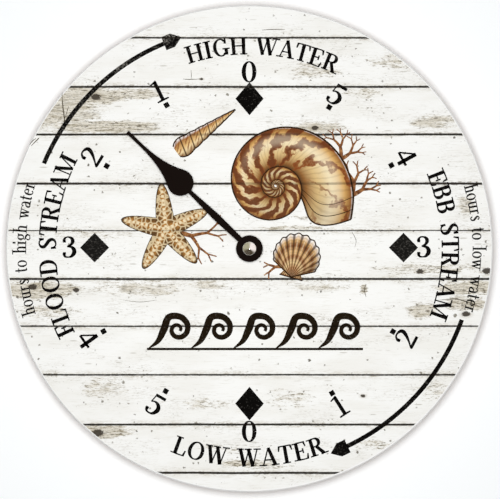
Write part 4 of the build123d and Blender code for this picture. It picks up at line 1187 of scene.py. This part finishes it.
def bushing():
    """The threaded bushing: a helical thread cut flat at both ends, with bore, neck and flange."""
    end = -bushing_end_y / mm
    face = neck_depth - neck_long
    turns = int((end - neck_depth) / thread_pitch) + 3
    steps = 48
    shape = bmesh.new()
    for crest, root in ((thread_r, thread_root_r), (bushing_bore_r, bushing_bore_r)):
        line = []
        for k in range(2 * turns + 1):
            depth = neck_depth - spare_turns * thread_pitch + k * thread_pitch / 2
            line.append(shape.verts.new(on_axis(root if k % 2 else crest, depth, 0.0)))
        for near, far in zip(line, line[1:]):
            shape.edges.new((near, far))
    bmesh.ops.spin(
        shape, geom=shape.verts[:] + shape.edges[:], cent=(0, 0, 0), axis=(0, 1, 0), angle=tau,
        steps=steps, dvec=(0, -thread_pitch * mm / steps, 0), use_merge=False)
    bmesh.ops.remove_doubles(shape, verts=shape.verts[:], dist=0.004 * mm)

    def cut(depth, outward):
        """Cut the thread off at a depth; returns the outer and the inner rim."""
        got = bmesh.ops.bisect_plane(
            shape, geom=shape.verts[:] + shape.edges[:] + shape.faces[:], dist=0.001 * mm,
            plane_co=(0, -depth * mm, 0), plane_no=(0, outward, 0), clear_outer=True)
        rims = [e for e in got["geom_cut"] if isinstance(e, bmesh.types.BMEdge)]
        outer = [e for e in rims if hypot(e.verts[0].co.x, e.verts[0].co.z) > 3 * mm]
        return outer, [e for e in rims if e not in outer]

    def draw(rim, radius, depth):
        """Extrude a rim to a radius and a depth; returns the new rim."""
        got = bmesh.ops.extrude_edge_only(shape, edges=rim)["geom"]
        for vert in got:
            if isinstance(vert, bmesh.types.BMVert):
                grown = radius * mm / hypot(vert.co.x, vert.co.z)
                vert.co = Vector((vert.co.x * grown, -depth * mm, vert.co.z * grown))
        return [e for e in got if isinstance(e, bmesh.types.BMEdge)
                and all(abs(v.co.y + depth * mm) < 1e-7 for v in e.verts)]

    def cap(outer, inner, way):
        bmesh.ops.triangle_fill(shape, use_beauty=True, edges=outer + inner, normal=(0, way, 0))

    outer, inner = cut(end - thread_lead, -1)
    cap(draw(outer, thread_lead_r, end), draw(inner, bushing_bore_r, end), -1)
    outer, inner = cut(neck_depth, 1)
    back = face - bushing_flange_thick
    for radius, depth in ((thread_r, neck_depth - 0.01), (thread_r, face),
                          (bushing_flange_r, face - 0.001), (bushing_flange_r, back)):
        outer = draw(outer, radius, depth)
    cap(outer, draw(inner, bushing_bore_r, back), 1)
    bmesh.ops.recalc_face_normals(shape, faces=shape.faces[:])
    barrel = new_piece("threaded_barrel", shape, "movement", finishes["brass"])
    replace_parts(barrel, "threaded_bushing")


# Battery can in millimetres: distance from its minus end and radius
can_line = [
    (0.2, 0.0), (0.2, 4.4), (0.0, 4.7), (0.0, 5.7), (0.3, 6.1), (0.45, 6.5), (0.2, 6.75), (0.25, 7.0),
    (0.5, 7.1), (24.0, 7.1), (48.4, 7.1), (48.9, 7.0), (49.15, 6.7), (49.0, 6.3), (49.4, 6.0), (49.5, 5.6),
    (49.5, 2.75), (50.2, 2.75), (50.42, 2.66), (50.5, 2.4), (50.5, 0.0),
]


def battery_can():
    """The battery with rolled ends, its button and the lip of its sleeve."""
    low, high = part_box("battery")
    middle = (low + high) / 2

    def ring(turn):
        c, s = cos(tau * turn), sin(tau * turn)
        return [Vector((low.x + x * mm, middle.y + r * mm * c, middle.z + r * mm * s)) for x, r in can_line]

    shape = bmesh.new()
    wrapped(shape, 64, ring)
    sleeve = finishes["battery_sleeve"]
    can = new_piece("battery_can", shape, "cell", sleeve, radians(50))
    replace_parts(can, "battery")


# Pole marks in the battery bay in millimetres: floor, half length, width and thickness, and places
bay_floor = 14.8
pole_half = 1.8
pole_w = 0.8
pole_thick = 0.3
bay_plus = 6.0
bay_minus = 5.0


def bay_marks():
    """Raised plus and minus on the floor of the battery bay, half their thickness proud of it."""
    low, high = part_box("battery")
    middle = (low + high) / 2 / mm
    shape = bmesh.new()
    for x, plus in ((high.x / mm - bay_plus, True), (low.x / mm + bay_minus, False)):

        def spot(a, b, x=x):
            return Vector((x + a, pole_thick / 2 - bay_floor, middle.z + b)) * mm

        stroke(shape, [(0, -pole_half, pole_w), (0, pole_half, pole_w)], 1, spot)
        if plus:
            stroke(shape, bar(-pole_half, pole_half, 0, pole_w), 1, spot)
    raise_print(shape, pole_thick * mm)
    new_piece("bay_marks", shape, "movement", finishes["case_plastic"])


shell_line = ink("shell_line", tone(52, 34, 16), 0.1)
dial_marks()
dial_cracks()
wave_scroll()
coral()
nautilus()
sea_star()
auger()
scallop()
hex_nut()
bushing()
battery_can()
bay_marks()

# Camera square to the dial, framed as the photograph is
lens = 120.0
sensor = 36.0
camera_away = lens * frame_w * pixel / sensor
camera_data = bpy.data.cameras.new("camera")
camera_data.lens = lens
camera_data.sensor_width = sensor
camera = bpy.data.objects.new("camera", camera_data)
camera.location = ((frame_w / 2 - dial_px) * pixel, print_y - camera_away, (dial_py - frame_h / 2) * pixel)
camera.rotation_euler = (radians(90), 0, 0)
bpy.context.scene.collection.objects.link(camera)
bpy.context.scene.camera = camera


def lamp(name, place, size, level):
    """A round soft lamp aimed at the clock; level is how bright it makes white paint that faces it."""
    data = bpy.data.lights.new(name, "AREA")
    data.shape = "DISK"
    data.size = size
    data.energy = level * pi * pi * Vector(place).length_squared
    light = bpy.data.objects.new(name, data)
    light.location = place
    light.rotation_euler = (-Vector(place)).to_track_quat("-Z", "Y").to_euler()
    light.visible_camera = False
    bpy.context.scene.collection.objects.link(light)


lamp("key_lamp", (-0.01, -0.9, 0.02), 0.3, 0.86)
lamp("back_lamp", (0.5, 1.4, 0.7), 0.9, 0.5)
lamp("back_fill", (-0.9, 1.1, -0.1), 0.9, 0.3)

# Studio round the clock: white to the eye, an even fill, and panels that the metal mirrors
world = bpy.data.worlds.new("studio")
world.use_nodes = True
bpy.context.scene.world = world
tree = world.node_tree
path = tree.nodes.new("ShaderNodeLightPath")
seen = Signal(path.outputs["Is Camera Ray"]).math("MAXIMUM", Signal(path.outputs["Is Transmission Ray"]))
heading = Signal(tree.nodes.new("ShaderNodeTexCoord").outputs["Generated"])
side = heading.part(0)
height = heading.part(2)
panels = (side * 0.94 + height * 0.34).step(0.15, 0.6).over(tone(172, 168, 142), tone(255, 246, 246))
panels = layered(panels, ((height + side * 0.15).step(-0.05, -0.62), (64, 54, 38)))
sky = Signal(path.outputs["Is Glossy Ray"]).over((0.12, 0.12, 0.12, 1.0), panels)
tree.links.new(seen.over(sky, tone(255, 255, 255)).socket, tree.nodes["Background"].inputs["Color"])


def white_wall():
    """Wall paint that keeps the clock's shadow, and that is open to the eye from behind."""
    material = bpy.data.materials.new("white_wall")
    material.use_nodes = True
    tree = material.node_tree
    tree.nodes.clear()
    facing = Signal(tree.nodes.new("ShaderNodeNewGeometry").outputs["Backfacing"])
    diffuse = facing.node("ShaderNodeBsdfDiffuse", {"Color": (0.965, 0.99, 1.0, 1.0)})
    glow = facing.node("ShaderNodeEmission", {"Strength": 0.115})
    plaster = facing.node("ShaderNodeAddShader", {0: diffuse, 1: glow})
    clear = facing.node("ShaderNodeBsdfTransparent", {})
    both = facing.node("ShaderNodeMixShader", {0: facing, 1: plaster, 2: clear})
    tree.links.new(both.socket, tree.nodes.new("ShaderNodeOutputMaterial").inputs["Surface"])
    return material


wall_half = 3.0
wall_gap = 0.5 * mm
wall_shape = bmesh.new()
bmesh.ops.create_grid(wall_shape, x_segments=1, y_segments=1, size=wall_half)
bmesh.ops.rotate(wall_shape, verts=wall_shape.verts[:], matrix=Matrix.Rotation(radians(90), 3, "X"))
bmesh.ops.translate(wall_shape, verts=wall_shape.verts[:], vec=(0, wall_gap, 0))
wall_mesh = bpy.data.meshes.new("wall")
wall_shape.to_mesh(wall_mesh)
wall_shape.free()
wall_mesh.materials.append(white_wall())
wall = bpy.data.objects.new("wall", wall_mesh)
wall.visible_shadow = False
bpy.context.scene.collection.objects.link(wall)

bpy.context.scene.view_settings.view_transform = "Standard"
